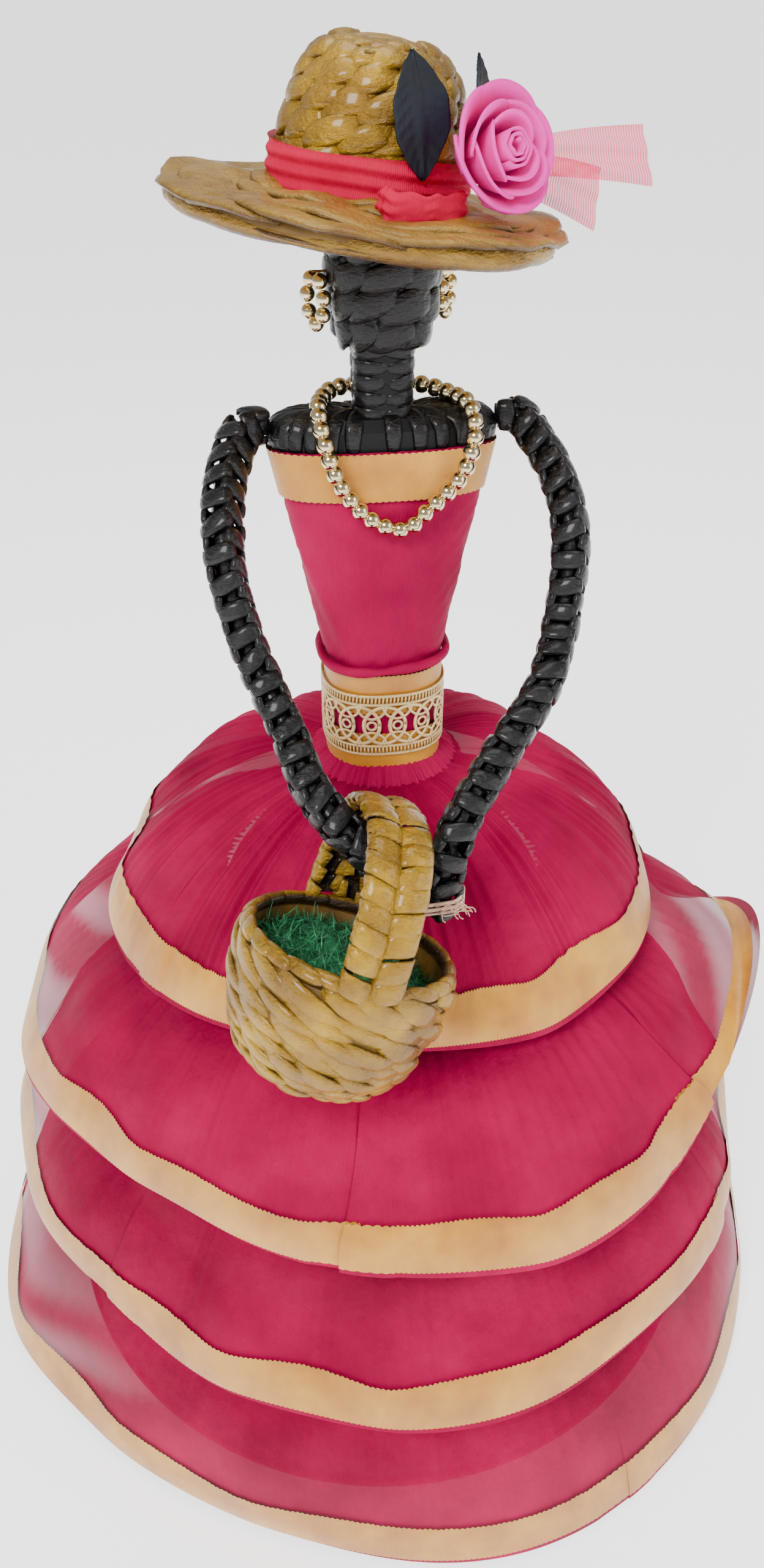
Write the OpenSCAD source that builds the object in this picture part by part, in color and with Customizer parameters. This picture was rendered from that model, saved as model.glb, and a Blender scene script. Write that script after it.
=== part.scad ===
// Craft doll plaited from rolled paper, dressed in gathered organza tiers,
// with a straw-style hat, bead jewellery and a basket hung on one arm.
// Millimetres, +Z up, the front faces -Y. The origin is the middle of the
// base disc's underside, which is what the figure stands on.

/* [Skirt] */
// Height of the waist above the table
waist_z = 262; // [240:1:320]
// Radius of the cardboard base disc
base_r = 146; // [120:1:176]
// Thickness of the cardboard base disc
base_t = 3; // [2:0.5:5]
// Wall of the woven skirt frame
frame_wall = 4; // [2.5:0.5:6]
// Radius of the frame where tier 2, 3 and 4 are glued on
frame_r = [61, 94, 119]; // [50:1:140]
// How far below the waist tier 2, 3 and 4 are glued on
frame_drop = [58, 128, 195]; // [40:1:230]
// Thickness of the lining cloth
lining_t = 0.6; // [0.4:0.1:1]
// Thickness of a gathered tier
tier_t = 1.2; // [0.8:0.1:2]
// Hem radius of the four tiers, top to bottom
hem_r = [106, 147, 161, 175]; // [90:1:210]
// How far below the waist the hems of tiers 1, 2 and 3 hang
hem_drop = [59, 119, 185]; // [30:1:230]
// Height of the lowest hem above the table
hem_lift = 3; // [2:1:12]
// Depth of the ruffles at each hem
ruffle = [5, 7, 7, 8]; // [0:1:12]
// Turn of the ruffles round each hem
ruffle_turn = [44, 20, 8, 28]; // [0:1:120]
// How far tier 2 is lifted, and pushed out, at the right side
wing = [50, 9]; // [0:1:60]
// Width of the satin ribbon
ribbon_w = 16; // [10:1:20]
// Thickness of the satin ribbon
ribbon_t = 0.5; // [0.4:0.1:1]
// Organza left bare under each hem ribbon
hem_margin = 3; // [1:0.5:6]

/* [Torso] */
// Height of the torso, waist to shoulders
torso_h = 120; // [100:1:150]
// Half width and half depth of the torso core at the waist
waist_half = [19.6, 18.6]; // [14:0.1:24]
// Half width and half depth of the torso core at the shoulders
bust_half = [36.6, 12]; // [10:0.1:44]
// Height of the straight waist
waist_h = 42; // [34:1:50]
// Thickness of the bodice cloth
bodice_t = 0.8; // [0.6:0.1:1.2]
// Height of the shoulder yoke
yoke_h = 9; // [7:0.5:12]
// Height of the lace on the waist
lace_h = 25; // [18:1:30]
// Radius of the rolled cloth fold at the waist
roll_r = 1.6; // [1:0.1:2.5]

/* [Head and neck] */
// Half width and half depth of the neck
neck_half = [9.4, 8]; // [6:0.1:12]
// Height of the neck
neck_h = 22; // [16:1:30]
// Half width and half depth of the head
head_half = [16.6, 14.5]; // [12:0.1:20]
// Height of the head, chin to hidden top
head_h = 52; // [44:1:60]

/* [Arms] */
// Half thickness of a plaited arm
arm_r = 5.7; // [4:0.1:7]
// How far the elbows stand out from the middle
elbow_x = 55; // [48:1:66]
// How far the hands reach past the hem radius of tier 1
hand_out = 1; // [0:1:8]
// Height of the hands above the waist
hand_up = 10; // [6:1:24]

/* [Jewellery] */
// Diameter of a necklace bead
bead_d = 6; // [4:0.1:7]
// Number of necklace beads
bead_count = 36; // [24:1:44]
// Diameter of an earring bead
ear_bead_d = 5; // [3:0.1:5.4]
// Number of beads in one earring
ear_count = 7; // [5:1:8]
// Radius of the thread in the jewellery
thread_r = 0.4; // [0.3:0.1:0.6]

/* [Basket] */
// Radius of the basket mouth
basket_r = 34; // [26:1:42]
// Depth of the basket bowl
basket_d = 45; // [34:1:56]
// Wall of the basket bowl
basket_wall = 3; // [2:0.5:4]
// Radius of the basket's rolled rim
basket_rim_r = 2.4; // [1.6:0.1:3]
// Height of the handle above the mouth
handle_h = 46; // [42:1:60]
// Width of the handle
handle_w = 18; // [12:1:24]
// Thickness of the handle
handle_t = 4; // [3:0.5:6]
// Lean of the basket: back, to the right, and turn of the view
basket_lean = [-18, 18, -9]; // [-40:1:40]
// How far the rim reaches behind the point where the handle rests on the arm
basket_back = 23; // [18:0.5:28]
// How far the mouth's middle is left of that point
basket_side = 3.6; // [0:0.1:8]
// How far the mouth's middle hangs below that point
basket_hang = 31; // [26:0.5:36]
// How far the moss stays below the mouth
moss_drop = 8; // [4:1:14]

/* [Hat] */
// Radius of the brim
brim_r = 57; // [46:1:68]
// Thickness of the brim
brim_t = 4; // [3:0.5:6]
// Radius of the crown at the band
crown_r = 26.5; // [23:0.5:32]
// Height of the crown above the brim
crown_h = 41; // [34:1:50]
// Wall of the crown
crown_wall = 4; // [3:0.5:6]
// How far the hat leans to the right
hat_roll = 8; // [0:1:15]
// Sideways place of the hat on the head
hat_x = -5; // [-6:0.5:6]
// Width of the hat band
band_w = 11; // [8:1:14]
// Radius of the foam rose
rose_r = 16; // [12:0.5:20]
// Length and width of a leaf
leaf_size = [31, 18]; // [14:1:40]
// Thickness of a leaf, and of the organza strips
sheet_t = 0.8; // [0.6:0.1:1.2]

/* [Hidden] */

fuchsia = "#c8145f";
satin_gold = "#d2a95c";
paint_gold = "#b8952f";
lacquer = "#1c1a1e";

gap = 0.3;       // clearance between pieces that lie on each other
round_fn = 64;
bead_fn = 12;
skirt_sides = 60;
body_sides = 40;

// ---- shared geometry -------------------------------------------------

function unit(v) = v / norm(v);
function mix(a, b, t) = a + (b - a) * t;

// Point t along the smooth curve through p[i] and p[i + 1]
function curve_point(a, b, c, d, t) =
    0.5 * (2 * b + (c - a) * t + (2 * a - 5 * b + 4 * c - d) * t * t + (3 * b - a - 3 * c + d) * t * t * t);
// Smooth open curve through the points, with the given steps per span
function smooth_path(p, steps) = [
    for (i = [0 : len(p) - 2], j = [0 : steps - 1])
        curve_point(p[max(i - 1, 0)], p[i], p[i + 1], p[min(i + 2, len(p) - 1)], j / steps),
    p[len(p) - 1]];
// Smooth closed curve through the points
function smooth_loop(p, steps) = [
    for (i = [0 : len(p) - 1], j = [0 : steps - 1])
        let (n = len(p))
        curve_point(p[(i + n - 1) % n], p[i], p[(i + 1) % n], p[(i + 2) % n], j / steps)];
// Running length at each point of a path, one entry per point
function run_lengths(p, i = 0, sum = 0, out = []) =
    i == len(p) ? out : run_lengths(p, i + 1, sum + (i + 1 < len(p) ? norm(p[i + 1] - p[i]) : 0), concat(out, [sum]));
// Point at distance s along a path whose running lengths are given
function at_length(p, lengths, s) =
    let (k = len([for (v = lengths) if (v <= s) 1]) - 1, i = min(k, len(p) - 2))
    mix(p[i], p[i + 1], (s - lengths[i]) / (lengths[i + 1] - lengths[i]));

// Side walls between neighbouring rings, and the flat caps of a solid
function wall_faces(rings, sides, base = 0, flip = false) = [
    for (i = [0 : rings - 2], j = [0 : sides - 1])
        let (a = base + i * sides + j, b = base + i * sides + (j + 1) % sides)
        for (f = [[a, b, b + sides], [a, b + sides, a + sides]]) flip ? [f[2], f[1], f[0]] : f];

// Closed solid through rings of points that run from bottom to top
module loft(rings) {
    sides = len(rings[0]);
    last = (len(rings) - 1) * sides;
    polyhedron(points = [for (ring = rings, p = ring) p],
        faces = concat(wall_faces(len(rings), sides, 0, true),
            [[for (j = [0 : sides - 1]) j]],
            [[for (j = [sides - 1 : -1 : 0]) last + j]]));
}

// Closed thin shell between outer and inner rings of points
module shell(outer, inner) {
    sides = len(outer[0]);
    n = len(outer);
    low = n * sides;
    top = (n - 1) * sides;
    rim = [for (j = [0 : sides - 1]) let (k = (j + 1) % sides)
        for (f = [[j, low + j, low + k], [j, low + k, k],
                  [top + j, top + k, low + top + k], [top + j, low + top + k, low + top + j]]) f];
    polyhedron(points = concat([for (ring = outer, p = ring) p], [for (ring = inner, p = ring) p]),
        faces = concat(wall_faces(n, sides, 0, true), wall_faces(n, sides, low, false), 
            [for (f = rim) [f[2], f[1], f[0]]]));
}

// Ring of points around a path point, square to the path
function tube_ring(at, along, r, sides, up) =
    let (side = unit(cross(along, up)), out = unit(cross(side, along)))
    [for (j = [0 : sides - 1]) at + r * (side * cos(360 * j / sides) + out * sin(360 * j / sides))];
function path_along(p, i) = unit(p[min(i + 1, len(p) - 1)] - p[max(i - 1, 0)]);
// Tube swept along an open path
module tube(p, r, sides, up) {
    loft([for (i = [0 : len(p) - 1]) tube_ring(p[i], path_along(p, i), r, sides, up)]);
}

// ---- skirt -----------------------------------------------------------

waist_r = waist_half[0] + bodice_t + ribbon_t + 3 * gap;
frame_top_r = waist_r + 1;
dome_power = 1.25;
v_step = 0.02;
hem_z = [for (k = [0 : 3]) k < 3 ? waist_z - hem_drop[k] : hem_lift];
frame_profile = [[frame_top_r, waist_z], for (k = [0 : 2]) [frame_r[k], waist_z - frame_drop[k]],
    [base_r - 2, base_t]];

// Frame radius at a height, on the straight runs between the profile's points
function frame_at(z) = lookup(z, [for (p = frame_profile) [p[1], p[0]]]);
// Where tier k starts: on the lining for tiers 1 to 3, on the bare frame for tier 4
lining_bottom = waist_z - frame_drop[1] - 6;
function tier_start(k) = let (z = k == 0 ? waist_z - 1 : waist_z - frame_drop[k - 1])
    [frame_at(z) + (z > lining_bottom ? lining_t + 2 * gap : gap) + (k == 0 ? 1 : 2), z];

// Slow wave of the ruffles around the hem, from -1 to 1
function ruffle_wave(k, a) = let (x = a - ruffle_turn[k]) 0.75 * cos(3 * x) + 0.25 * cos(5 * x + 120);
// Share of the lift of tier 2 at an angle: 1 at the middle of the lifted part, 0 beyond it
wing_at = 72;
wing_half = 36;
function wing_share(k, a) = let (off = abs((a - wing_at + 180) % 360 - 180))
    k == 1 && off < wing_half ? 0.5 + 0.5 * cos(180 * off / wing_half) : 0;
// Height above the hem as a share of the tier's fall: a dome that is a little flatter than round
function dome(v) = pow(max(0, cos(90 * v)), dome_power);
// Radius and height of tier k at an angle: v is 0 at the top and 1 at the hem
function tier_profile(k, v, a) = let (s = tier_start(k), lift = wing * wing_share(k, a) * v * v * v)
    [s[0] + (hem_r[k] - s[0]) * sin(90 * v) + ruffle[k] * v * v * ruffle_wave(k, a) + lift[1],
        hem_z[k] + (s[1] - hem_z[k]) * dome(v) + lift[0]];
// Point on tier k, off its inner face by off; the normal is taken over a short step of v
function tier_point(k, v, a, off) =
    let (back = max(0, v - v_step), p = tier_profile(k, v, a),
        along = unit(tier_profile(k, back + v_step, a) - tier_profile(k, back, a)),
        q = p + off * [-along[1], along[0]])
    [q[0] * sin(a), -q[0] * cos(a), q[1]];
// One ring of points for each v, from the hem up
function tier_rings(k, steps, off) = [
    for (v = steps) [for (j = [0 : skirt_sides - 1]) tier_point(k, v, 360 * j / skirt_sides, off)]];
// v at a distance above the hem, along the nearly upright last part of the tier
function v_above_hem(k, up) = acos(pow(min(1, up / (tier_start(k)[1] - hem_z[k])), 1 / dome_power)) / 90;
// Rows of the ribbon, and of the tier, which has the ribbon's rows among its own
function ribbon_steps(k) = let (low = v_above_hem(k, hem_margin), high = v_above_hem(k, hem_margin + ribbon_w * 0.94))
    [for (i = [0 : 3]) mix(low, high, i / 3)];
function tier_steps(k) = let (rows = ribbon_steps(k)) concat([1], rows, [for (i = [3 : -1 : 0]) rows[3] * i / 4]);

module tier(k) {
    color(fuchsia, 0.8)
        shell(tier_rings(k, tier_steps(k), tier_t), tier_rings(k, tier_steps(k), 0));
}

module hem_ribbon(k) {
    inner = tier_t + gap;
    color(satin_gold)
        shell(tier_rings(k, ribbon_steps(k), inner + ribbon_t), tier_rings(k, ribbon_steps(k), inner));
}

module base_disc() {
    color("#9a7448")
        cylinder(r = base_r, h = base_t, $fn = round_fn);
}

module skirt_frame() {
    color("#b9ab8f")
        rotate_extrude($fn = round_fn)
            difference() {
                polygon(concat([[0, waist_z], [0, base_t]], [for (i = [4 : -1 : 0]) frame_profile[i]]));
                polygon(concat([[0, waist_z - frame_wall], [0, base_t - 1]],
                    [[base_r - 2 - frame_wall, base_t - 1]],
                    [for (i = [4 : -1 : 1]) frame_profile[i] - [frame_wall, 0]],
                    [[frame_top_r - frame_wall, waist_z - frame_wall]]));
            }
}

module skirt_lining() {
    rows = [frame_profile[0] - [0, gap], frame_profile[1], frame_profile[2],
        [frame_at(lining_bottom), lining_bottom]];
    color("#b01052")
        rotate_extrude($fn = round_fn)
            polygon(concat([for (p = rows) p + [gap, 0]],
                [for (i = [3 : -1 : 0]) rows[i] + [gap + lining_t, 0]]));
}

// ---- torso -----------------------------------------------------------

shoulder_z = waist_z + torso_h;
bust_top = shoulder_z - 0.5;
waist_top = waist_z + waist_h;

// Half width and half depth of the torso core at a height
function torso_half(z) = mix(waist_half, bust_half, max(0, (z - waist_top) / (shoulder_z - waist_top)));
// Rounded-square ring with the given half sizes
function body_ring(half, z) = [for (j = [0 : body_sides - 1])
    let (a = 360 * j / body_sides, c = cos(a), s = sin(a), e = 0.8)
    [half[0] * sign(c) * pow(abs(c), e), half[1] * sign(s) * pow(abs(s), e), z]];
function torso_rings(z0, z1, n, off) = [
    for (i = [0 : n]) let (z = mix(z0, z1, i / n)) body_ring(torso_half(z) + [off, off], z)];

module torso_band(z0, z1, n, off, t) {
    shell(torso_rings(z0, z1, n, off + t), torso_rings(z0, z1, n, off));
}

bodice_off = gap;
over_bodice = bodice_off + bodice_t + gap;
over_ribbon = over_bodice + ribbon_t + gap;

module torso_core() {
    color("#2a272b")
        loft(concat([body_ring(waist_half, waist_z)], torso_rings(waist_top, shoulder_z, 4, 0)));
}

module bodice() {
    color(fuchsia)
        shell(concat(torso_rings(waist_z + 0.5, waist_top, 1, bodice_off + bodice_t),
                torso_rings(waist_top + 8, bust_top, 4, bodice_off + bodice_t)),
            concat(torso_rings(waist_z + 0.5, waist_top, 1, bodice_off),
                torso_rings(waist_top + 8, bust_top, 4, bodice_off)));
}

module bust_ribbon() {
    color(satin_gold)
        torso_band(bust_top - ribbon_w, bust_top, 1, over_bodice, ribbon_t);
}

module waist_roll() {
    ring = [for (i = [0 : 7]) [roll_r * (1 + cos(45 * i)), roll_r * sin(45 * i)]];
    half = torso_half(waist_top + 2 * roll_r + gap);
    rows = [for (p = ring)
        body_ring(half + [over_bodice + p[0], over_bodice + p[0]], waist_top + roll_r + gap + p[1])];
    color("#d01a68")
        polyhedron(points = [for (row = rows, p = row) p],
            faces = [for (i = [0 : 7], j = [0 : body_sides - 1])
                let (a = i * body_sides, b = ((i + 1) % 8) * body_sides, k = (j + 1) % body_sides)
                for (f = [[a + j, b + j, b + k], [a + j, b + k, a + k]]) f]);
}

module waist_ribbon_upper() {
    color(satin_gold)
        torso_band(waist_top - ribbon_w, waist_top, 1, over_bodice, ribbon_t);
}

module waist_ribbon_lower() {
    color(satin_gold)
        torso_band(waist_z + 2.5, waist_z + 2.5 + ribbon_w, 1, over_bodice, ribbon_t);
}

module waist_lace() {
    middle = waist_z + waist_h / 2 + 1;
    color("#e0c98f")
        torso_band(middle - lace_h / 2, middle + lace_h / 2, 1, over_ribbon, ribbon_t);
}

module shoulder_yoke() {
    top = shoulder_z + yoke_h;
    color(lacquer)
        loft([body_ring(bust_half, shoulder_z), body_ring(bust_half, shoulder_z + yoke_h * 0.6),
            body_ring(bust_half - [3, 2.5], top)]);
}

// ---- head and neck ---------------------------------------------------

neck_z = shoulder_z + yoke_h;
chin_z = neck_z + neck_h;

// Height as a share of the head's, and size there as a share of head_half
head_shape = [[0, 0.66], [0.12, 0.9], [0.3, 1], [0.62, 1.02], [0.86, 0.95], [1, 0.8]];

module neck() {
    color(lacquer)
        loft([body_ring(neck_half, neck_z), body_ring(neck_half + [0.6, 0.4], chin_z)]);
}

module head() {
    color(lacquer)
        loft([for (p = head_shape) body_ring(head_half * p[1], chin_z + head_h * p[0])]);
}

// ---- arms ------------------------------------------------------------

hand_y = -(hem_r[0] + hand_out);
hand_z = waist_z + hand_up;
arm_z = shoulder_z + yoke_h - 3;
arm_x = bust_half[0] + gap + 0.9;
hand_half = arm_r + 0.35;
hand_mid_x = -4.5;
arm_up = [0, -0.6, 0.8];

// Upper arm from the shoulder to below the elbow; side is -1 or 1
function upper_arm(side) = [
    [side * arm_x, 0, arm_z],
    [side * (arm_x + 7), -3, arm_z],
    [side * (elbow_x - 5), -11, arm_z - 6],
    [side * (elbow_x - 1), -25, arm_z - 15],
    [side * elbow_x, -37, arm_z - 26],
    [side * (elbow_x - 1.5), -44, arm_z - 39],
    [side * (elbow_x - 6), -53, mix(arm_z, hand_z, 0.48)]];
// The middle of the left forearm under the basket handle, which rests on it
rest_point = [-24, hand_y + 7, hand_z + 21.5];

left_path = smooth_path(concat(upper_arm(-1), [
    rest_point + [-18, 34, 24],
    rest_point + [-12, 15.5, 11],
    rest_point + [-8, 8, 6.5],
    rest_point + [-4, 3, 3],
    rest_point,
    rest_point + [5, -3, -4.5],
    [hand_mid_x - hand_half - 3.5, hand_y + 1.5, hand_z + 13],
    [hand_mid_x - hand_half, hand_y, hand_z + 7],
    [hand_mid_x - hand_half, hand_y, hand_z + 1],
    [hand_mid_x - hand_half, hand_y, hand_z - 5]]), 3);
right_path = smooth_path(concat(upper_arm(1), [
    [elbow_x - 13, hand_y + 40, hand_z + 54],
    [elbow_x - 19, hand_y + 33, hand_z + 48],
    [elbow_x - 34, hand_y + 19, hand_z + 37],
    [hand_mid_x + hand_half + 7, hand_y + 6, hand_z + 27],
    [hand_mid_x + hand_half + 3, hand_y + 1.5, hand_z + 20],
    [hand_mid_x + hand_half + 0.5, hand_y, hand_z + 12],
    [hand_mid_x + hand_half, hand_y, hand_z + 4],
    [hand_mid_x + hand_half, hand_y, hand_z - 5]]), 3);

module arm_left() {
    color(lacquer)
        tube(left_path, arm_r, 8, arm_up);
}

module arm_right() {
    color(lacquer)
        tube(right_path, arm_r, 8, arm_up);
}

module wrist_thread() {
    band_h = 5;
    color("#d9a98a")
        translate([hand_mid_x, hand_y, hand_z])
            difference() {
                linear_extrude(band_h)
                    hull() for (s = [-1, 1]) translate([s * hand_half, 0]) circle(arm_r + gap + 0.9, $fn = 32);
                translate([0, 0, -1])
                    linear_extrude(band_h + 2)
                        hull() for (s = [-1, 1]) translate([s * hand_half, 0]) circle(arm_r + gap, $fn = 32);
            }
}

// ---- hat -------------------------------------------------------------

hat_z = chin_z + 40;
rim_r = 2.8;
crown_in = crown_r - crown_wall;
brim_drop = 2.5;

module in_hat() {
    translate([hat_x, 0, hat_z])
        rotate([0, hat_roll, 0])
            children();
}

// Half outline of the crown: a slightly tapering wall and a domed top
function crown_outline(r, h) = [
    for (i = [0 : 12]) let (a = 90 * i / 12)
        [r * pow(cos(a), 0.55), h * (0.1 + 0.9 * pow(sin(a), 0.9))]];

module hat_crown() {
    color(paint_gold)
        in_hat()
            rotate_extrude($fn = round_fn)
                difference() {
                    polygon(concat([[0, brim_t / 2 + gap / 2], [crown_r, brim_t / 2 + gap / 2]],
                        crown_outline(crown_r, crown_h)));
                    polygon(concat([[0, 0], [crown_in, 0]],
                        crown_outline(crown_in, crown_h - crown_wall)));
                }
}

module hat_brim() {
    color(paint_gold)
        in_hat()
            union() {
                rotate_extrude($fn = round_fn)
                    polygon([[crown_in, -brim_t / 2], [crown_in, brim_t / 2], [crown_r + 2, brim_t / 2],
                        [brim_r - rim_r, brim_t / 2 - brim_drop], [brim_r - rim_r, -brim_t / 2 - brim_drop]]);
                rotate_extrude($fn = round_fn)
                    translate([brim_r - rim_r, -brim_drop])
                        circle(rim_r, $fn = 24);
            }
}

module hat_band() {
    low = brim_t / 2 + gap;
    color("#e2286b")
        in_hat()
            translate([0, 0, low])
                difference() {
                    cylinder(r = crown_r + gap + sheet_t, h = band_w, $fn = round_fn);
                    translate([0, 0, -1])
                        cylinder(r = crown_r + gap, h = band_w + 2, $fn = round_fn);
                }
}

// Height of the brim's top at a distance from the middle of the hat
function brim_top(r) = brim_t / 2 - brim_drop * max(0, (r - crown_r - 2) / (brim_r - rim_r - crown_r - 2));
flower_angle = 50;   // place of the rose round the crown, from the front to the right
flower_face = 24;    // where the rose looks, from the front to the right
flower_out = crown_r + sheet_t + gap + rose_r * 0.45;
flower_up = 17;

module bow_loop() {
    reach = crown_r + 8.5;
    color("#e2286b")
        in_hat()
            rotate([0, 0, 14])
                translate([0, -reach, brim_top(crown_r + 4) + gap + 0.6])
                    linear_extrude(6)
                        difference() {
                            scale([1.9, 1]) circle(6, $fn = 32);
                            scale([1.9, 0.94]) circle(6 - sheet_t, $fn = 32);
                        }
}

// Rounded cup outline: 0 at the back of the flower, 1 at its open front
function cup_r(r, t) = r * (0.45 + 0.55 * pow(sin(90 * t), 0.7));

module in_flower() {
    in_hat()
        rotate([0, 0, flower_angle])
            translate([0, -flower_out, flower_up])
                rotate([0, 0, flower_face - flower_angle])
                    rotate([68, 0, 0])
                        children();
}

module rose_petals() {
    depth = rose_r * 1.1;
    wall = 2;
    steps = 8;
    color("#f055b0")
        in_flower()
            rotate_extrude($fn = round_fn)
                difference() {
                    polygon(concat([[0, 0]], [for (i = [0 : steps]) [cup_r(rose_r, i / steps), depth * i / steps]],
                        [[0, depth]]));
                    polygon(concat([[0, wall]], [for (i = [0 : steps])
                        [cup_r(rose_r, i / steps) - wall, wall + depth * i / steps]], [[0, depth + wall]]));
                }
}

module rose_heart() {
    heart_r = rose_r * 0.5;
    color("#ea48a6")
        in_flower()
            translate([0, 0, 2 + gap])
                cylinder(r1 = heart_r * 0.6, r2 = heart_r, h = rose_r * 0.95, $fn = 32);
}

// Pointed leaf outline with its stem end at the origin, pointing along +Y
function leaf_outline(size) = let (n = 14) concat(
    [for (i = [0 : n]) [size[1] / 2 * pow(sin(180 * i / n), 0.8), size[0] * i / n]],
    [for (i = [n - 1 : -1 : 1]) [-size[1] / 2 * pow(sin(180 * i / n), 0.8), size[0] * i / n]]);

module leaf_front() {
    color("#1e2c38")
        in_hat()
            rotate([0, 0, 20])
                translate([0, -(crown_r + 2 * gap + 3 * sheet_t), brim_t / 2 + 9])
                    rotate([83, 0, 0])
                        rotate([0, 0, 13])
                            linear_extrude(sheet_t)
                                polygon(leaf_outline(leaf_size));
}

module leaf_back() {
    color("#1e2c38")
        in_hat()
            rotate([0, 0, 62])
                translate([0, -(crown_r + 2 * gap + sheet_t + 0.4), brim_t / 2 + 14])
                    rotate([86, 0, 0])
                        rotate([0, 0, 6])
                            linear_extrude(sheet_t)
                                polygon(leaf_outline(leaf_size * 0.85));
}

module ribbon_tails() {
    color("#f08aac")
        in_hat()
            rotate([0, 0, -8])
                for (t = [[8, 6, 46], [-10, 0, 32]])
                    translate([crown_r + sheet_t + 6, 6 + t[1], 14])
                        rotate([90, -t[0], 0])
                            linear_extrude(sheet_t)
                                polygon([[0, -2.5], [t[2], -8], [t[2] + 6, 3], [t[2] * 0.7, 8], [0, 2.5]]);
}

// ---- jewellery -------------------------------------------------------

bead_r = bead_d / 2;
chest_y = -(bust_half[1] + over_ribbon + bead_r + gap);
nape_y = neck_half[1] + 1 + bead_r + gap;
neck_side = neck_half[0] + 1.5 + bead_r;
bead_rest_z = neck_z + bead_r + gap;

necklace_turn = [
    [0, nape_y, bead_rest_z + 2],
    [neck_side, nape_y - 3, bead_rest_z + 2],
    [neck_side + 9, nape_y - 12, bead_rest_z + 1],
    [neck_side + 13, chest_y + 7, bead_rest_z],
    [neck_side + 13, chest_y - 1.5, bead_rest_z - 7],
    [neck_side + 9, chest_y - 1.5, bead_rest_z - 20],
    [neck_side - 3, chest_y - 1.5, bead_rest_z - 32],
    [4, chest_y - 1.5, bead_rest_z - 37],
    [-neck_side + 6, chest_y - 1.5, bead_rest_z - 32],
    [-neck_side - 3, chest_y - 1.5, bead_rest_z - 20],
    [-neck_side - 7, chest_y - 1.5, bead_rest_z - 8],
    [-neck_side - 8, chest_y + 7, bead_rest_z],
    [-neck_side - 6, nape_y - 12, bead_rest_z + 1],
    [-neck_side, nape_y - 3, bead_rest_z + 2]];
necklace_path = smooth_loop(necklace_turn, 6);
necklace_closed = concat(necklace_path, [necklace_path[0]]);
necklace_lengths = run_lengths(necklace_closed);
necklace_length = necklace_lengths[len(necklace_lengths) - 1];

module necklace_beads() {
    color("#d9c8a0")
        for (i = [0 : bead_count - 1])
            translate(at_length(necklace_closed, necklace_lengths, necklace_length * i / bead_count))
                sphere(bead_r * 0.97, $fn = bead_fn);
}

module closed_thread(p, up) {
    n = len(p);
    rows = [for (i = [0 : n - 1])
        tube_ring(p[i], unit(p[(i + 1) % n] - p[(i + n - 1) % n]), thread_r, 5, up)];
    polyhedron(points = [for (row = rows, q = row) q],
        faces = [for (i = [0 : n - 1], j = [0 : 4])
            let (a = i * 5, b = ((i + 1) % n) * 5, k = (j + 1) % 5)
            for (f = [[a + j, b + k, a + k], [a + j, b + j, b + k]]) f]);
}

module necklace_thread() {
    color("#8a6a3a")
        closed_thread([for (i = [0 : bead_count - 1])
            at_length(necklace_closed, necklace_lengths, necklace_length * i / bead_count)], [0.3, 0.5, 0.8]);
}

ear_bead_r = ear_bead_d / 2;
ear_up = 22;
ear_z = chin_z + ear_up;
ear_y = [-4, 6];
head_side = head_half[0] * lookup(ear_up / head_h, head_shape);
ear_x = head_side + ear_bead_r + 1.9;
ear_drop = 1.4;
ear_loop_h = ear_count * ear_bead_d * 0.198;
ear_ring = [for (i = [0 : 36]) [0, 0.62 * ear_loop_h * sin(10 * i), ear_loop_h * cos(10 * i)]];
ear_lengths = run_lengths(ear_ring);
ear_turn = 30;

// The hook is a short stub on the side of the head; side is -1 or 1
module ear_hook(side, y) {
    color("#8a6a3a")
        translate([side * head_side, y, ear_z])
            rotate([0, side * 90, 0])
                cylinder(r = thread_r, h = ear_x - head_side + 1, $fn = 16);
}

module ear_beads(side, y) {
    color("#d9c8a0")
        translate([side * ear_x, y, ear_z - ear_drop])
            rotate([0, 0, -side * ear_turn])
                for (i = [0 : ear_count - 1])
                    translate(at_length(ear_ring, ear_lengths, ear_lengths[36] * (i + 0.5) / ear_count)
                        - [0, 0, ear_loop_h])
                        sphere(ear_bead_r * 0.95, $fn = bead_fn);
}

module earring_hook_left() {
    ear_hook(-1, ear_y[0]);
}

module earring_hook_right() {
    ear_hook(1, ear_y[1]);
}

module earring_left() {
    ear_beads(-1, ear_y[0]);
}

module earring_right() {
    ear_beads(1, ear_y[1]);
}

// ---- basket ----------------------------------------------------------

// The mouth's middle, placed so that the handle rests on the left forearm
mouth_mid = rest_point + [-basket_side, basket_back - basket_r, -basket_hang];
handle_turn = -84;

module in_basket() {
    translate(mouth_mid)
        rotate(basket_lean)
            children();
}

// Half outline of the bowl from the mouth down to the middle of the bottom
function bowl_outline(r, d) = [for (i = [0 : 10]) let (a = 90 * i / 10)
    [r * pow(cos(a), 0.62), -d * sin(a)]];

module basket_body() {
    top = -basket_rim_r - gap / 2;
    color(paint_gold)
        in_basket()
            rotate_extrude($fn = round_fn)
                difference() {
                    translate([0, top])
                        polygon(concat([[0, 0]], bowl_outline(basket_r, basket_d + top)));
                    translate([0, top + 0.01])
                        polygon(concat([[0, 1], [basket_r - basket_wall, 1]],
                            bowl_outline(basket_r - basket_wall, basket_d + top - basket_wall)));
                }
}

module basket_rim() {
    color(paint_gold)
        in_basket()
            rotate_extrude($fn = round_fn)
                translate([basket_r - basket_wall / 2 - 0.3, 0])
                    circle(basket_rim_r, $fn = 24);
}

// Upper half of an oval arch, from the right foot over the top to the left foot
function arch(half, h) = [for (i = [0 : 24]) let (a = 180 * i / 24)
    [half * sign(cos(a)) * pow(abs(cos(a)), 0.8), h * pow(sin(a), 0.8)]];

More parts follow.
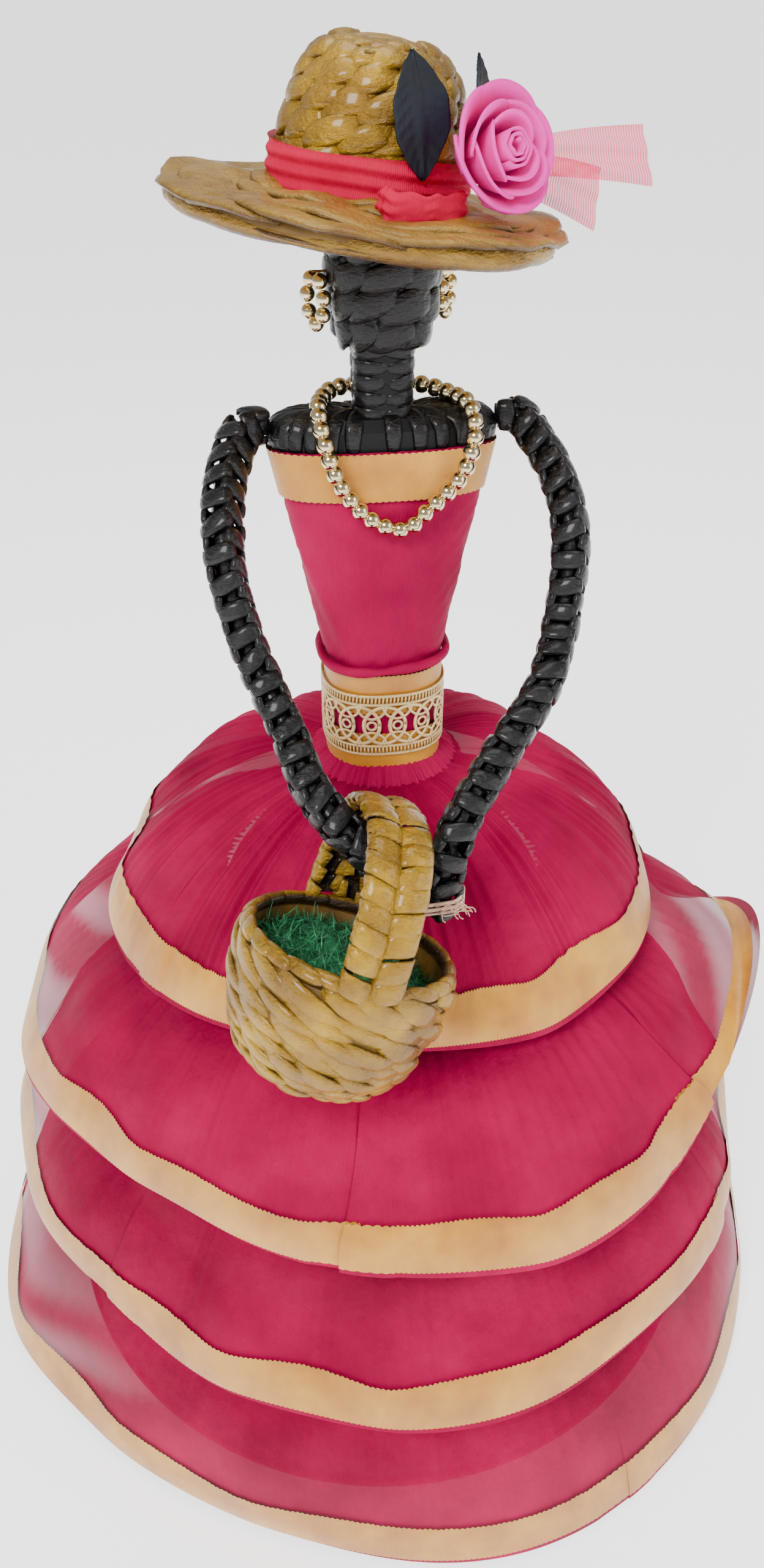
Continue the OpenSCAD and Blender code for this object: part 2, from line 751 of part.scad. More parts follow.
module basket_handle() {
    foot = basket_rim_r + gap / 2;
    half = basket_r - basket_wall / 2 + handle_t / 2;
    inner = arch(half - handle_t, handle_h - foot - handle_t);
    color(paint_gold)
        in_basket()
            rotate([0, 0, handle_turn])
                translate([0, handle_w / 2, foot])
                    rotate([90, 0, 0])
                        linear_extrude(handle_w)
                            polygon(concat(arch(half, handle_h - foot),
                                [for (i = [24 : -1 : 0]) inner[i]]));
}

module basket_moss() {
    top = -basket_rim_r - gap / 2;
    r = basket_r - basket_wall - gap * 2;
    fill = bowl_outline(r, basket_d + top - basket_wall - gap * 2);
    color("#1f5a3a")
        in_basket()
            rotate_extrude($fn = round_fn)
                intersection() {
                    translate([0, top])
                        polygon(concat([[0, 0]], fill));
                    translate([0, -basket_d])
                        square([basket_r, basket_d - moss_drop]);
                }
}

base_disc();
skirt_frame();
skirt_lining();
tier(0);  // tier_1
tier(1);  // tier_2
tier(2);  // tier_3
tier(3);  // tier_4
hem_ribbon(0);  // hem_ribbon_1
hem_ribbon(1);  // hem_ribbon_2
hem_ribbon(2);  // hem_ribbon_3
hem_ribbon(3);  // hem_ribbon_4
torso_core();
bodice();
bust_ribbon();
waist_roll();
waist_ribbon_upper();
waist_ribbon_lower();
waist_lace();
shoulder_yoke();
neck();
head();
arm_left();
arm_right();
wrist_thread();
hat_crown();
hat_brim();
hat_band();
bow_loop();
ribbon_tails();
rose_petals();
rose_heart();
leaf_front();
leaf_back();
necklace_beads();
necklace_thread();
earring_hook_left();
earring_hook_right();
earring_left();
earring_right();
basket_body();
basket_rim();
basket_handle();
basket_moss();
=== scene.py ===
# A craft doll plaited from rolled paper, in a gathered organza dress, with a
# straw-style hat, bead jewellery and a basket hung on its arm.
# Lengths in this script are millimetres in the frame's axes; make() turns them
# into metres.
import math

import bpy
import numpy as np
from mathutils import Matrix, Vector


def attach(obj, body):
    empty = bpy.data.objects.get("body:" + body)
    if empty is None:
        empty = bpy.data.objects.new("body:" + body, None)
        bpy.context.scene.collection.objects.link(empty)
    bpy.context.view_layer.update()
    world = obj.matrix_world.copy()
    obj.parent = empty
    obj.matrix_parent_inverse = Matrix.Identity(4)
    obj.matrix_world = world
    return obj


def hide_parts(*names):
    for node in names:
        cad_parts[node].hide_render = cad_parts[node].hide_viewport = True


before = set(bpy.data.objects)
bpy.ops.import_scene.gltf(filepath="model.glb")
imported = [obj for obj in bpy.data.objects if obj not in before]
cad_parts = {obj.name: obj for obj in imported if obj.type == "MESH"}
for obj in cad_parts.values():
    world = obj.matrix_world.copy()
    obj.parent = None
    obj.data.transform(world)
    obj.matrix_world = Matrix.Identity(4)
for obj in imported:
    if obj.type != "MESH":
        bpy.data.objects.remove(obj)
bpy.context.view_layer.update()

MM = 0.001
TAU = 2 * math.pi


# ---- camera -------------------------------------------------------------
# The view looks 34 degrees down on the doll from in front, a little to its left.
camera_data = bpy.data.cameras.new("camera")
camera_data.sensor_fit = "AUTO"
camera_data.sensor_width = 36
camera_data.lens = 28.125
camera_data.clip_start = 0.01
camera = bpy.data.objects.new("camera", camera_data)
bpy.context.scene.collection.objects.link(camera)
camera.location = (-0.0623, -0.3931, 0.513)
camera.rotation_euler = (math.radians(56), 0, math.radians(-9))
bpy.context.scene.camera = camera


# ---- helpers: colours, nodes, meshes --------------------------------------
def lin(code, alpha=1.0):
    """An sRGB hex colour as linear RGBA."""
    values = [int(code[i : i + 2], 16) / 255 for i in (1, 3, 5)]
    return tuple(v / 12.92 if v <= 0.04045 else ((v + 0.055) / 1.055) ** 2.4 for v in values) + (alpha,)


def add(tree, kind, inputs=None, **settings):
    """Adds a node: settings are its own options, inputs are values or links for its sockets."""
    node = tree.nodes.new(kind)
    for name, value in settings.items():
        setattr(node, name, value)
    for name, value in (inputs or {}).items():
        if isinstance(value, bpy.types.NodeSocket):
            tree.links.new(value, node.inputs[name])
        else:
            node.inputs[name].default_value = value
    return node


def ramp(tree, factor, stops):
    """A colour ramp with the given (position, hex) stops."""
    node = add(tree, "ShaderNodeValToRGB", {"Fac": factor})
    for element, (place, code) in zip(list(node.color_ramp.elements), (stops[0], stops[-1])):
        element.position = place
        element.color = lin(code)
    for place, code in stops[1:-1]:
        node.color_ramp.elements.new(place).color = lin(code)
    return node.outputs["Color"]


def material(name, **inputs):
    """A new Principled material, its node tree and its shader node."""
    mat = bpy.data.materials.new(name)
    mat.use_nodes = True
    shader = mat.node_tree.nodes["Principled BSDF"]
    for key, value in inputs.items():
        shader.inputs[key.replace("_", " ")].default_value = value
    return mat, mat.node_tree, shader


def grain(tree, scale, stretch=(1, 1, 1), source="Object", detail=3.0, rough=0.55):
    """Noise with a size in real units: scale is in waves per metre."""
    place = add(tree, "ShaderNodeTexCoord").outputs[source]
    mapped = add(tree, "ShaderNodeMapping", {"Vector": place, "Scale": stretch})
    noise = add(tree, "ShaderNodeTexNoise", {"Vector": mapped.outputs["Vector"], "Scale": scale,
                                             "Detail": detail, "Roughness": rough})
    return noise.outputs["Fac"]


def bump(tree, shader, height, strength, distance):
    """Gives a shader relief of the given depth in metres."""
    node = add(tree, "ShaderNodeBump", {"Height": height, "Strength": strength, "Distance": distance})
    tree.links.new(node.outputs["Normal"], shader.inputs["Normal"])
    return node


def unit(v):
    return v / np.maximum(np.linalg.norm(v, axis=-1, keepdims=True), 1e-9)


def turn(degrees, axis):
    """Rotation matrix about x, y or z."""
    return np.array(Matrix.Rotation(math.radians(degrees), 3, axis))


def xyz(x, y, z):
    """Points from three coordinate arrays that broadcast together."""
    return np.stack(np.broadcast_arrays(x, y, z), -1)


def grid_faces(rows, cols, closed=False):
    """Quads of a grid of rows by cols points; closed joins the last column to the first."""
    i, j = np.meshgrid(np.arange(rows - 1), np.arange(cols if closed else cols - 1), indexing="ij")
    k = (j + 1) % cols
    corners = (i * cols + j, i * cols + k, (i + 1) * cols + k, (i + 1) * cols + j)
    return np.stack(corners, -1).reshape(-1, 4).tolist()


def join(parts):
    """Joins (points, faces, shade) parts into one."""
    points, faces, shades, base = [], [], [], 0
    for p, f, s in parts:
        points.append(p)
        shades.append(s)
        faces += [[base + q for q in face] for face in f]
        base += len(p)
    return np.concatenate(points), faces, np.concatenate(shades)


def make(name, points, faces, mat, body, shade=None, uv=None, smooth=True, replaces=()):
    """A mesh piece in millimetres that rides on a CAD body and takes a material slot."""
    mesh = bpy.data.meshes.new(name)
    mesh.from_pydata((np.asarray(points) * MM).tolist(), [], faces)
    mesh.polygons.foreach_set("use_smooth", [smooth] * len(mesh.polygons))
    index = np.zeros(len(mesh.loops), int)
    mesh.loops.foreach_get("vertex_index", index)
    if shade is not None:
        layer = mesh.attributes.new("shade", "FLOAT", "POINT")
        layer.data.foreach_set("value", np.asarray(shade, float))
    if uv is not None:
        layer = mesh.uv_layers.new(name="metres")
        layer.data.foreach_set("uv", (np.asarray(uv) * MM)[index].ravel())
    mesh.materials.append(mat)
    mesh.update()
    piece = bpy.data.objects.new(name, mesh)
    bpy.context.scene.collection.objects.link(piece)
    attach(piece, body)
    if replaces:
        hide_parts(*replaces)
    return piece


def dress(node, mat):
    """Gives a CAD node a material."""
    node_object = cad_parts[node]
    for place in node_object.material_slots:
        place.material = mat


# ---- helpers: strands, plaits, curves ---------------------------------------
def strand(path, normal, width, thick, taper=0.3, sides=10, lengthwise=None):
    """A flattened rolled-paper strip through path, its flat side facing normal."""
    n = len(path)
    s = np.linspace(0, 1, n)
    along = unit(np.gradient(path, axis=0))
    side = unit(np.cross(along, normal))
    out = unit(np.cross(side, along))
    full = taper + (1 - taper) * np.sin(np.pi * np.clip(s, 0.02, 0.98)) ** 0.45
    a = np.arange(sides) * TAU / sides
    x = np.sign(np.cos(a)) * np.abs(np.cos(a)) ** 0.8 / 2
    y = np.sign(np.sin(a)) * np.abs(np.sin(a)) ** 0.7 / 2
    w = np.broadcast_to(width, n) * full
    t = np.broadcast_to(thick, n) * full
    points = (path[:, None] + side[:, None] * (x[None] * w[:, None])[..., None]
              + out[:, None] * (y[None] * t[:, None])[..., None]).reshape(-1, 3)
    faces = grid_faces(n, sides, True)
    faces += [list(range(sides))[::-1], list(range((n - 1) * sides, n * sides))]
    # Painted shade for the paper materials: each strip is lightest on its outer face and darker towards its
    # edges, underside and tapered ends, where it tucks under its neighbours.
    across = np.clip(np.sin(a)[None] * 0.75 + 0.35, 0, 1)
    shade = across * np.sin(np.pi * np.clip(s, 0.03, 0.97))[:, None] ** 0.3
    return points, faces, shade.ravel()


def twined(surface, rows, count, width, thick, span=1.7, tilt=1.0, lift=0.7, seed=1, shift=0.5, wild=0.1,
           v0=0.0, v1=1.0):
    """Rows of slanted overlapping strips laid over a surface; surface(u, v) gives points and normals."""
    rng = np.random.default_rng(seed)
    parts = []
    t = np.linspace(0, 1, 9)
    for r in range(rows):
        for i in range(count):
            j = rng.uniform(-wild, wild, 4)
            u = (i + shift * r + j[0] + span * t) / count
            v = v0 + (v1 - v0) * (r + 0.5 + (tilt + j[1]) * (t - 0.5) + j[2] * 0.5) / rows
            place, normal = surface(u, np.clip(v, 0.0, 1.0))
            height = lift * (1 + 3 * j[3]) * np.sin(np.pi * t) - 0.25 * thick
            parts.append(strand(place + normal * height[:, None], normal, width * (1 + j[1]), thick))
    return join(parts)


def smooth_path(points, steps):
    """The same curve through its points as the CAD model uses."""
    p = np.asarray(points, float)
    out = []
    for i in range(len(p) - 1):
        a, b, c, d = p[max(i - 1, 0)], p[i], p[i + 1], p[min(i + 2, len(p) - 1)]
        for j in range(steps):
            t = j / steps
            out.append(0.5 * (2 * b + (c - a) * t + (2 * a - 5 * b + 4 * c - d) * t ** 2
                              + (3 * b - a - 3 * c + d) * t ** 3))
    return np.array(out + [p[-1]])


def resample(path, step):
    """Points evenly spaced along a path."""
    run = np.concatenate([[0], np.cumsum(np.linalg.norm(np.diff(path, axis=0), axis=1))])
    n = max(2, int(round(run[-1] / step)) + 1)
    s = np.linspace(0, run[-1], n)
    return np.stack([np.interp(s, run, path[:, k]) for k in range(3)], 1)


def tube(path, radius, sides=8):
    """A round tube along a path, with flat ends."""
    n = len(path)
    along = unit(np.gradient(path, axis=0))
    hint = np.where(np.abs(along[:, 2:3]) > 0.9, [[1.0, 0.2, 0.0]], [[0.05, 0.1, 1.0]])
    side = unit(np.cross(along, hint))
    out = np.cross(side, along)
    a = np.arange(sides) * TAU / sides
    r = np.broadcast_to(radius, n)[:, None, None]
    points = (path[:, None] + r * (side[:, None] * np.cos(a)[None, :, None]
                                   + out[:, None] * np.sin(a)[None, :, None])).reshape(-1, 3)
    faces = grid_faces(n, sides, True) + [list(range(sides))[::-1], list(range((n - 1) * sides, n * sides))]
    return points, faces, np.ones(len(points))


def wavy(angle, waves, seed):
    """A repeatable irregular wave round a circle, about -1 to 1."""
    rng = np.random.default_rng(seed)
    total = np.zeros_like(angle)
    for w in waves:
        total = total + np.sin(w * angle + rng.uniform(0, TAU)) * rng.uniform(0.6, 1.0)
    return total / max(1.0, len(waves) ** 0.5)


# ---- materials ----------------------------------------------------------------
def paper_strip(name, dark, stops, rough, coat, relief, metallic=0.0, patch=55):
    """Painted and varnished rolled paper, creased along the strips, with painted shade darker in the grooves:
    at the strips' edges, undersides and ends.
    """
    mat, tree, shader = material(name, Roughness=rough, Metallic=metallic,
                                 Coat_Weight=coat, Coat_Roughness=0.12,
                                 Specular_IOR_Level=0.5 if metallic else 0.3)
    patches = grain(tree, patch, detail=4)
    colour = ramp(tree, patches, stops)
    # Painted shade: where a strip's shade value is low, at its edges, underside and ends, the colour mixes
    # towards the dark groove colour.
    crest = add(tree, "ShaderNodeAttribute", attribute_name="shade").outputs["Fac"]
    painted_shade_mix = add(tree, "ShaderNodeMapRange",
                 {"Value": crest, "From Min": 0.12, "From Max": 0.62}).outputs["Result"]
    mixed = add(tree, "ShaderNodeMix", data_type="RGBA")
    tree.links.new(painted_shade_mix, mixed.inputs["Factor"])
    mixed.inputs[6].default_value = lin(dark)
    tree.links.new(colour, mixed.inputs[7])
    tree.links.new(mixed.outputs[2], shader.inputs["Base Color"])
    creases = grain(tree, 330, (1, 1, 2.2), detail=5, rough=0.6)
    bump(tree, shader, creases, 0.9, relief)
    return mat


# The first colour of each paper is the painted shade in the grooves between its strips.
lacquer = paper_strip("black_lacquered_paper", "#060507",
                      [(0.3, "#020103"), (0.6, "#050406"), (0.8, "#0A080C")], 0.26, 0.22, 0.0012)
gold_paper = paper_strip("gold_painted_paper", "#301E08",
                         [(0.28, "#745202"), (0.45, "#906A04"), (0.6, "#AC8408"), (0.75, "#BE9410")],
                         0.3, 0.35, 0.0018, metallic=0.45)
brim_paper = paper_strip("gold_painted_brim", "#4A3010",
                         [(0.28, "#7A5410"), (0.5, "#96701C"), (0.7, "#AE8630")],
                         0.4, 0.2, 0.0022, metallic=0.3)

core_black, _, _ = material("black_core", Base_Color=lin("#030304"), Roughness=0.5, Specular_IOR_Level=0.25)
core_gold, tree, shader = material("shaded_gold_core", Roughness=0.6)
tree.links.new(ramp(tree, grain(tree, 90), [(0.3, "#4A320C"), (0.7, "#7A5818")]), shader.inputs["Base Color"])


def cloth(name, stops, rough, sheen, weave, patch=22, alpha=1.0, relief=0.0004, tint="#FF9CC8", crease=60):
    """Thin woven cloth; weave is the thread spacing in metres, taken from the piece's own flat size."""
    mat, tree, shader = material(name, Roughness=rough, Sheen_Weight=sheen, Sheen_Roughness=0.35,
                                 Sheen_Tint=lin(tint), Alpha=alpha, Specular_IOR_Level=0.08)
    tree.links.new(ramp(tree, grain(tree, patch, detail=4), stops), shader.inputs["Base Color"])
    soft = grain(tree, crease, (1, 1, 0.5), detail=5, rough=0.6)
    place = add(tree, "ShaderNodeTexCoord").outputs["UV"]
    threads = add(tree, "ShaderNodeTexWave", {"Vector": place, "Scale": TAU / 20 / weave, "Distortion": 0.4},
                  wave_type="BANDS", bands_direction="X")
    both = add(tree, "ShaderNodeMath", {0: threads.outputs["Fac"], 1: 0.03}, operation="MULTIPLY")
    height = add(tree, "ShaderNodeMath", {0: soft, 1: both.outputs[0]}, operation="ADD")
    bump(tree, shader, height.outputs[0], 1.0, relief * 4)
    return mat, tree, shader


organza, tree, shader = cloth("fuchsia_organza", [(0.3, "#8A0034"), (0.5, "#A0003E"), (0.7, "#B6004A")],
                              0.65, 0.0, 0.0004, relief=0.0007)
cover = add(tree, "ShaderNodeAttribute", attribute_name="shade").outputs["Fac"]
tree.links.new(cover, shader.inputs["Alpha"])
bodice_cloth, _, _ = cloth("fuchsia_cloth", [(0.3, "#8E0038"), (0.5, "#A20042"), (0.7, "#B4004C")],
                           0.6, 0.05, 0.0005, relief=0.0007)
hat_organza, _, _ = cloth("pleated_hat_organza", [(0.3, "#B80034"), (0.7, "#DC0048")], 0.5, 0.0, 0.0006,
                          alpha=0.96, relief=0.0006)
lining, _, _ = cloth("lining_cloth", [(0.3, "#A00038"), (0.7, "#B80044")], 0.7, 0.0, 0.0006)


def satin(name, stops, rough):
    """Woven satin ribbon with fine crosswise threads."""
    mat, tree, shader = material(name, Roughness=rough, Sheen_Weight=0.15,
                                 Specular_IOR_Level=0.55, Anisotropic=0.5)
    tree.links.new(ramp(tree, grain(tree, 45, detail=3), stops), shader.inputs["Base Color"])
    place = add(tree, "ShaderNodeTexCoord").outputs["UV"]
    threads = add(tree, "ShaderNodeTexWave", {"Vector": place, "Scale": TAU / 20 / 0.0004, "Distortion": 0.4},
                  wave_type="BANDS", bands_direction="X")
    waves = grain(tree, 70, detail=2)
    height = add(tree, "ShaderNodeMath", {0: threads.outputs["Fac"], 1: 0.12}, operation="MULTIPLY")
    total = add(tree, "ShaderNodeMath", {0: height.outputs[0], 1: waves}, operation="ADD")
    bump(tree, shader, total.outputs[0], 0.8, 0.0008)
    return mat


ribbon = satin("gold_satin_ribbon", [(0.3, "#B4700A"), (0.5, "#CC8816"), (0.7, "#E0A028")], 0.36)
lace_thread, _, _ = material("metallic_lace_thread", Base_Color=lin("#D9BE86"), Metallic=0.45, Roughness=0.4)
bead_metal, _, _ = material("metallised_bead", Base_Color=lin("#D8C69C"), Metallic=1.0, Roughness=0.13)
wire, _, _ = material("brass_wire", Base_Color=lin("#8A6A3A"), Metallic=1.0, Roughness=0.35)
thread, _, _ = material("cotton_thread", Base_Color=lin("#DDB79A"), Roughness=0.8)
foam, tree, shader = material("pink_craft_foam", Roughness=0.8)
tree.links.new(ramp(tree, grain(tree, 40), [(0.3, "#E618A0"), (0.7, "#F42CB4")]), shader.inputs["Base Color"])
bump(tree, shader, grain(tree, 1500, detail=2), 0.5, 0.0003)
leaf_mat, tree, shader = material("dark_leaf_cloth", Roughness=0.55, Specular_IOR_Level=0.3)
tree.links.new(ramp(tree, grain(tree, 60), [(0.3, "#070C14"), (0.55, "#0C1722"), (0.75, "#0C3030")]),
               shader.inputs["Base Color"])
bump(tree, shader, grain(tree, 500, detail=4), 0.6, 0.0004)
moss_mat, tree, shader = material("dyed_moss", Roughness=0.6)
tree.links.new(ramp(tree, grain(tree, 300), [(0.3, "#0C4228"), (0.5, "#1E6C44"), (0.7, "#349A60")]),
               shader.inputs["Base Color"])
cardboard, tree, shader = material("cardboard", Roughness=0.85)
tree.links.new(ramp(tree, grain(tree, 120), [(0.3, "#8E6A42"), (0.7, "#A67F52")]),
               shader.inputs["Base Color"])
raw_paper, tree, shader = material("raw_rolled_paper", Roughness=0.8)
tree.links.new(ramp(tree, grain(tree, 60, (1, 1, 6)), [(0.3, "#9C927E"), (0.7, "#C4B79C")]),
               shader.inputs["Base Color"])
bump(tree, shader, grain(tree, 160, (1, 1, 3)), 1.0, 0.002)
sheer, tree, shader = material("sheer_organza", Base_Color=lin("#F81868"), Roughness=0.5)
place = add(tree, "ShaderNodeTexCoord").outputs["UV"]
bars = add(tree, "ShaderNodeTexWave", {"Vector": place, "Scale": 400.0, "Distortion": 0.5},
           bands_direction="X")
open_net = add(tree, "ShaderNodeMapRange", {"Value": bars.outputs["Fac"], "To Min": 0.5, "To Max": 0.9})
tree.links.new(open_net.outputs["Result"], shader.inputs["Alpha"])


# ---- skirt: base, frame and lining ------------------------------------------
# A cardboard disc under a woven paper frame; a plain lining covers the frame's
# upper part. All three show only from below and through the organza.
dress("base_disc", cardboard)
dress("skirt_frame", raw_paper)
dress("skirt_lining", lining)

# ---- skirt: four gathered organza tiers and their satin ribbons ----------------
# Strips of organza gathered at the top edge and glued round the frame, each
# falling free over the next. A satin ribbon runs round each just above the hem.
WAIST_Z = 262
HEM_R = (106, 147, 161, 175)
HEM_Z = (203, 143, 77, 3)
RUFFLE = (5, 7, 7, 8)
RUFFLE_TURN = (44, 20, 8, 28)
HEM_MARGIN, RIBBON_TOP = 3, 18     # height of the ribbon's two edges above a hem
TIER_T = 1.2
TOP = ((24.3, 261), (63.2, 204), (96.2, 134), (121.3, 67))     # radius and height of each gathered edge
GATHERS = ((60, 73, 88, 97, 110), (90, 104, 121, 137), (100, 118, 139, 151), (110, 131, 149))
FOLDS = ((5, 8, 13), (7, 11, 17), (6, 10, 15), (7, 9, 14))
LAPS = (((-62, 13, 4.0, 5), (142, 14, 5, 6)), ((-13, 12, 5.2, 9), (44, 16, 8.5, -13), (168, 14, 6, 6)),
        ((-52, 12, 4.0, 6), (51, 11, 4.5, -7), (200, 14, 5, 6)), ((24, 10, 2.0, 3), (150, 12, 3, 4)))
DOME_POWER = 1.25
WING_AT, WING_HALF = 72, 36        # degrees: where tier 2 is lifted, and how far to either side
WING_LIFT, WING_OUT = 50, 9
HEM_DIP = (2.0, 3.0, 2.6, 0.0)
GATHER = (3.7, 1.8, 1.6, 1.4)


def ruffle_wave(k, a):
    x = a - math.radians(RUFFLE_TURN[k])
    return 0.75 * np.cos(3 * x) + 0.25 * np.cos(5 * x + math.radians(120))


def near(a, middle, half):
    """1 at the angle middle and 0 beyond half either side, in degrees."""
    off = (np.degrees(a) - middle + 180) % 360 - 180
    return np.where(np.abs(off) < half, 0.5 + 0.5 * np.cos(np.pi * off / half), 0.0)


def fold_back(a, at, width, depth):
    """Turns the angle back on itself near one place, so that the cloth laps over in a flat fold."""
    off = (np.degrees(a) - at + 180) % 360 - 180
    x = np.clip(off / width, -0.5, 0.5)
    return a - np.radians(depth) * np.sin(TAU * x) * np.cos(np.pi * x) ** 2, x + 0.5


def tier_profile(k, v, a):
    """Radius and height of tier k at v (0 gathered edge, 1 hem) and angle a, as the CAD model has it."""
    r0, z0 = TOP[k]
    share = near(a, WING_AT, WING_HALF) * v ** 3 if k == 1 else 0.0
    s, c = np.sin(np.pi / 2 * v), np.maximum(np.cos(np.pi / 2 * v), 0)
    radius = r0 + (HEM_R[k] - r0) * s + RUFFLE[k] * v * v * ruffle_wave(k, a) + WING_OUT * share
    return radius, HEM_Z[k] + (z0 - HEM_Z[k]) * c ** DOME_POWER + WING_LIFT * share


def tier_point(k, v, a, off):
    """Point on tier k with its gathers, folds and laps, off its middle by off."""
    lap_out = 0.0
    for at, width, depth, step in LAPS[k]:
        a, t = fold_back(a, at, width, depth * np.minimum(1, v * 1.2) ** 2)
        lap_out = lap_out + step * v ** 2 * (t ** 2 * (3 - 2 * t) - t)
    radius, z = tier_profile(k, v, a)
    back = np.maximum(0, v - 0.02)
    r1, z1 = tier_profile(k, back, a)
    r2, z2 = tier_profile(k, back + 0.02, a)
    length = np.hypot(r2 - r1, z2 - z1)
    fine = (1 - v) ** 2 * wavy(a, GATHERS[k], 10 + k)
    soft = a + 0.10 * np.sin(3 * v + 2 * a)
    low = wavy(soft, FOLDS[k][:2], 20 + k)
    high = wavy(soft, FOLDS[k][1:], 25 + k)
    deep = 0.6 - np.sqrt(wavy(a - 0.08 * v, FOLDS[k][:2], 30 + k) ** 2 + 0.2)
    middle = np.sin(np.pi * np.minimum(v, 0.97))
    radius = (radius + lap_out + off * (z1 - z2) / length + GATHER[k] * fine
              + low * (2.3 * middle + 1.3 * v ** 3)
              + high * 1.3 * middle ** 2 + deep * (7.0 * middle ** 1.3 + 0.5 * v ** 3))
    z = z + off * (r2 - r1) / length - 2.2 * deep * middle - HEM_DIP[k] * v ** 3 * wavy(a, (3, 4, 7), 40 + k)
    return xyz(radius * np.sin(a), -radius * np.cos(a), z)


def grid_uv(points):
    """Flat coordinates of a grid: along the rows and down the columns, in millimetres."""
    across = np.linalg.norm(np.diff(points, axis=1), axis=2).mean(0)
    down = np.linalg.norm(np.diff(points, axis=0), axis=2).mean(1)
    u = np.concatenate([[0], np.cumsum(across)])
    v = np.concatenate([[0], np.cumsum(down)])
    return np.stack(np.meshgrid(u, v), -1).reshape(-1, 2)


def flat_size(points):
    """Length of the last row, which is the hem, and of the mean column of a grid, in metres."""
    rows = np.linalg.norm(np.diff(points, axis=1), axis=2).sum(1)
    columns = np.linalg.norm(np.diff(points, axis=0), axis=2).sum(0)
    return float(rows[-1] * MM), float(columns.mean() * MM)


def cloth_grid(name, points, mat, body, replaces=(), shade=None):
    """An open cloth piece from a grid whose last column repeats the first."""
    rows, cols = points.shape[:2]
    return make(name, points.reshape(-1, 3), grid_faces(rows, cols), mat, body,
                uv=grid_uv(points), replaces=replaces, shade=shade)


TIER_COLS = 900
angles = np.linspace(0, TAU, TIER_COLS + 1)
for k in range(4):
    v = np.linspace(0, 1, 34)[:, None]
    points = tier_point(k, v, angles[None], TIER_T / 2)
    points[:, -1] = points[:, 0]
    side = np.clip((np.abs(np.sin(angles)) - 0.6) / 0.4, 0, 1)[None]
    thin = np.clip(0.35 + wavy(angles[None] + 1.5 * v, (5, 9, 14), 60 + k), 0, 1)
    cover = 0.98 - 0.24 * side * thin * np.clip(2 * v - 0.5, 0, 1)
    tier = cloth_grid(f"organza_tier_{k + 1}", points, organza, "figure", (f"tier_{k + 1}",),
                      shade=cover.ravel())
    width, height = flat_size(points)

    low = math.acos((HEM_MARGIN / (TOP[k][1] - HEM_Z[k])) ** (1 / DOME_POWER)) / (math.pi / 2)
    high = math.acos((RIBBON_TOP / (TOP[k][1] - HEM_Z[k])) ** (1 / DOME_POWER)) / (math.pi / 2)
    picot_angles = np.linspace(0, TAU, 2201)
    t = np.linspace(0, 1, 9)[:, None]
    picot = 0.006 * np.abs(np.sin(picot_angles * 275)) * (np.abs(2 * t - 1) > 0.95)
    v = high + (low - high) * t
    edge = np.where(t > 0.5, picot, -picot)
    points = tier_point(k, v + edge, picot_angles[None], TIER_T / 2 + 0.9)
    points[:, -1] = points[:, 0]
    band = cloth_grid(f"satin_hem_ribbon_{k + 1}", points, ribbon, "figure",
                      (f"hem_ribbon_{k + 1}",))
    width, height = flat_size(points)


# ---- torso -----------------------------------------------------------------
# Plaited paper under a fitted fuchsia cloth, with a gold ribbon at the bust, and
# at the waist a rolled fold of cloth, a satin ribbon and a metallic lace over it.
WAIST_HALF = np.array([19.6, 18.6])
BUST_HALF = np.array([36.6, 12.0])
SHOULDER_Z = 382
WAIST_TOP = 304
ring_angle = np.linspace(0, TAU, 721)


def torso_ring(z, off):
    """Closed rounded-square ring round the torso at height z, off its surface by off."""
    t = max(0.0, (z - WAIST_TOP) / (SHOULDER_Z - WAIST_TOP))
    half = WAIST_HALF + (BUST_HALF - WAIST_HALF) * t
    c, s = np.cos(ring_angle), np.sin(ring_angle)
    x = (half[0] + off) * np.sign(c) * np.abs(c) ** 0.8
    y = (half[1] + off) * np.sign(s) * np.abs(s) ** 0.8
    ring = xyz(x, y, np.full_like(x, z))
    run = np.concatenate([[0], np.cumsum(np.linalg.norm(np.diff(ring, axis=0), axis=1))])
    even = np.linspace(0, run[-1], len(ring))
    return np.stack([np.interp(even, run, ring[:, k]) for k in range(3)], 1), run[-1]


def torso_band(z0, z1, rows, off, relief=None):
    """Grid round the torso between two heights; relief(u, z) adds to the offset."""
    grid = []
    for z in np.linspace(z0, z1, rows):
        ring, _ = torso_ring(z, off)
        if relief is not None:
            out = unit(ring * [1, 1.6, 0])
            ring = ring + out * relief(ring_angle, z)[:, None]
        grid.append(ring)
    grid = np.array(grid)
    grid[:, -1] = grid[:, 0]
    return grid


dress("torso_core", core_black)

TORSO_H = 120


def wrinkle(u, z):
    """Shallow folds across the bodice cloth, in millimetres."""
    return (0.45 * wavy(u + 0.02 * (z - 340), (5, 8, 13), 3) * math.sin(math.pi * (z - WAIST_Z) / TORSO_H)
            + 0.2 * wavy(u - 0.05 * (z - 300), (17, 23), 4))


points = torso_band(262.5, 381.5, 60, 0.75, wrinkle)
bodice = cloth_grid("bodice_wrap", points, bodice_cloth, "figure", ("bodice",))


def ribbon_band(name, z0, z1, off, node, mat, tilt=0.0, seed=5):
    """A flat ribbon with small loops along both edges, round the torso from z0 to z1."""
    points = torso_band(z0, z1, 11, off, lambda u, z: 0.12 * wavy(u, (3, 5, 9), seed))
    picots = 0.35 * np.abs(np.sin(ring_angle * 40))
    points[0, :, 2] -= picots
    points[-1, :, 2] += picots
    points[:, :, 2] += tilt * points[:, :, 0]
    points[:, -1] = points[:, 0]
    band = cloth_grid(name, points, mat, "figure", (node,))
    return band


ribbon_band("bust_satin_ribbon", 366, 381, 1.95, "bust_ribbon", ribbon)
ribbon_band("waist_satin_ribbon_top", 288.5, 303.5, 1.7, "waist_ribbon_upper", ribbon, seed=6)
ribbon_band("waist_satin_ribbon_low", 265, 280, 1.7, "waist_ribbon_lower", ribbon, seed=7)

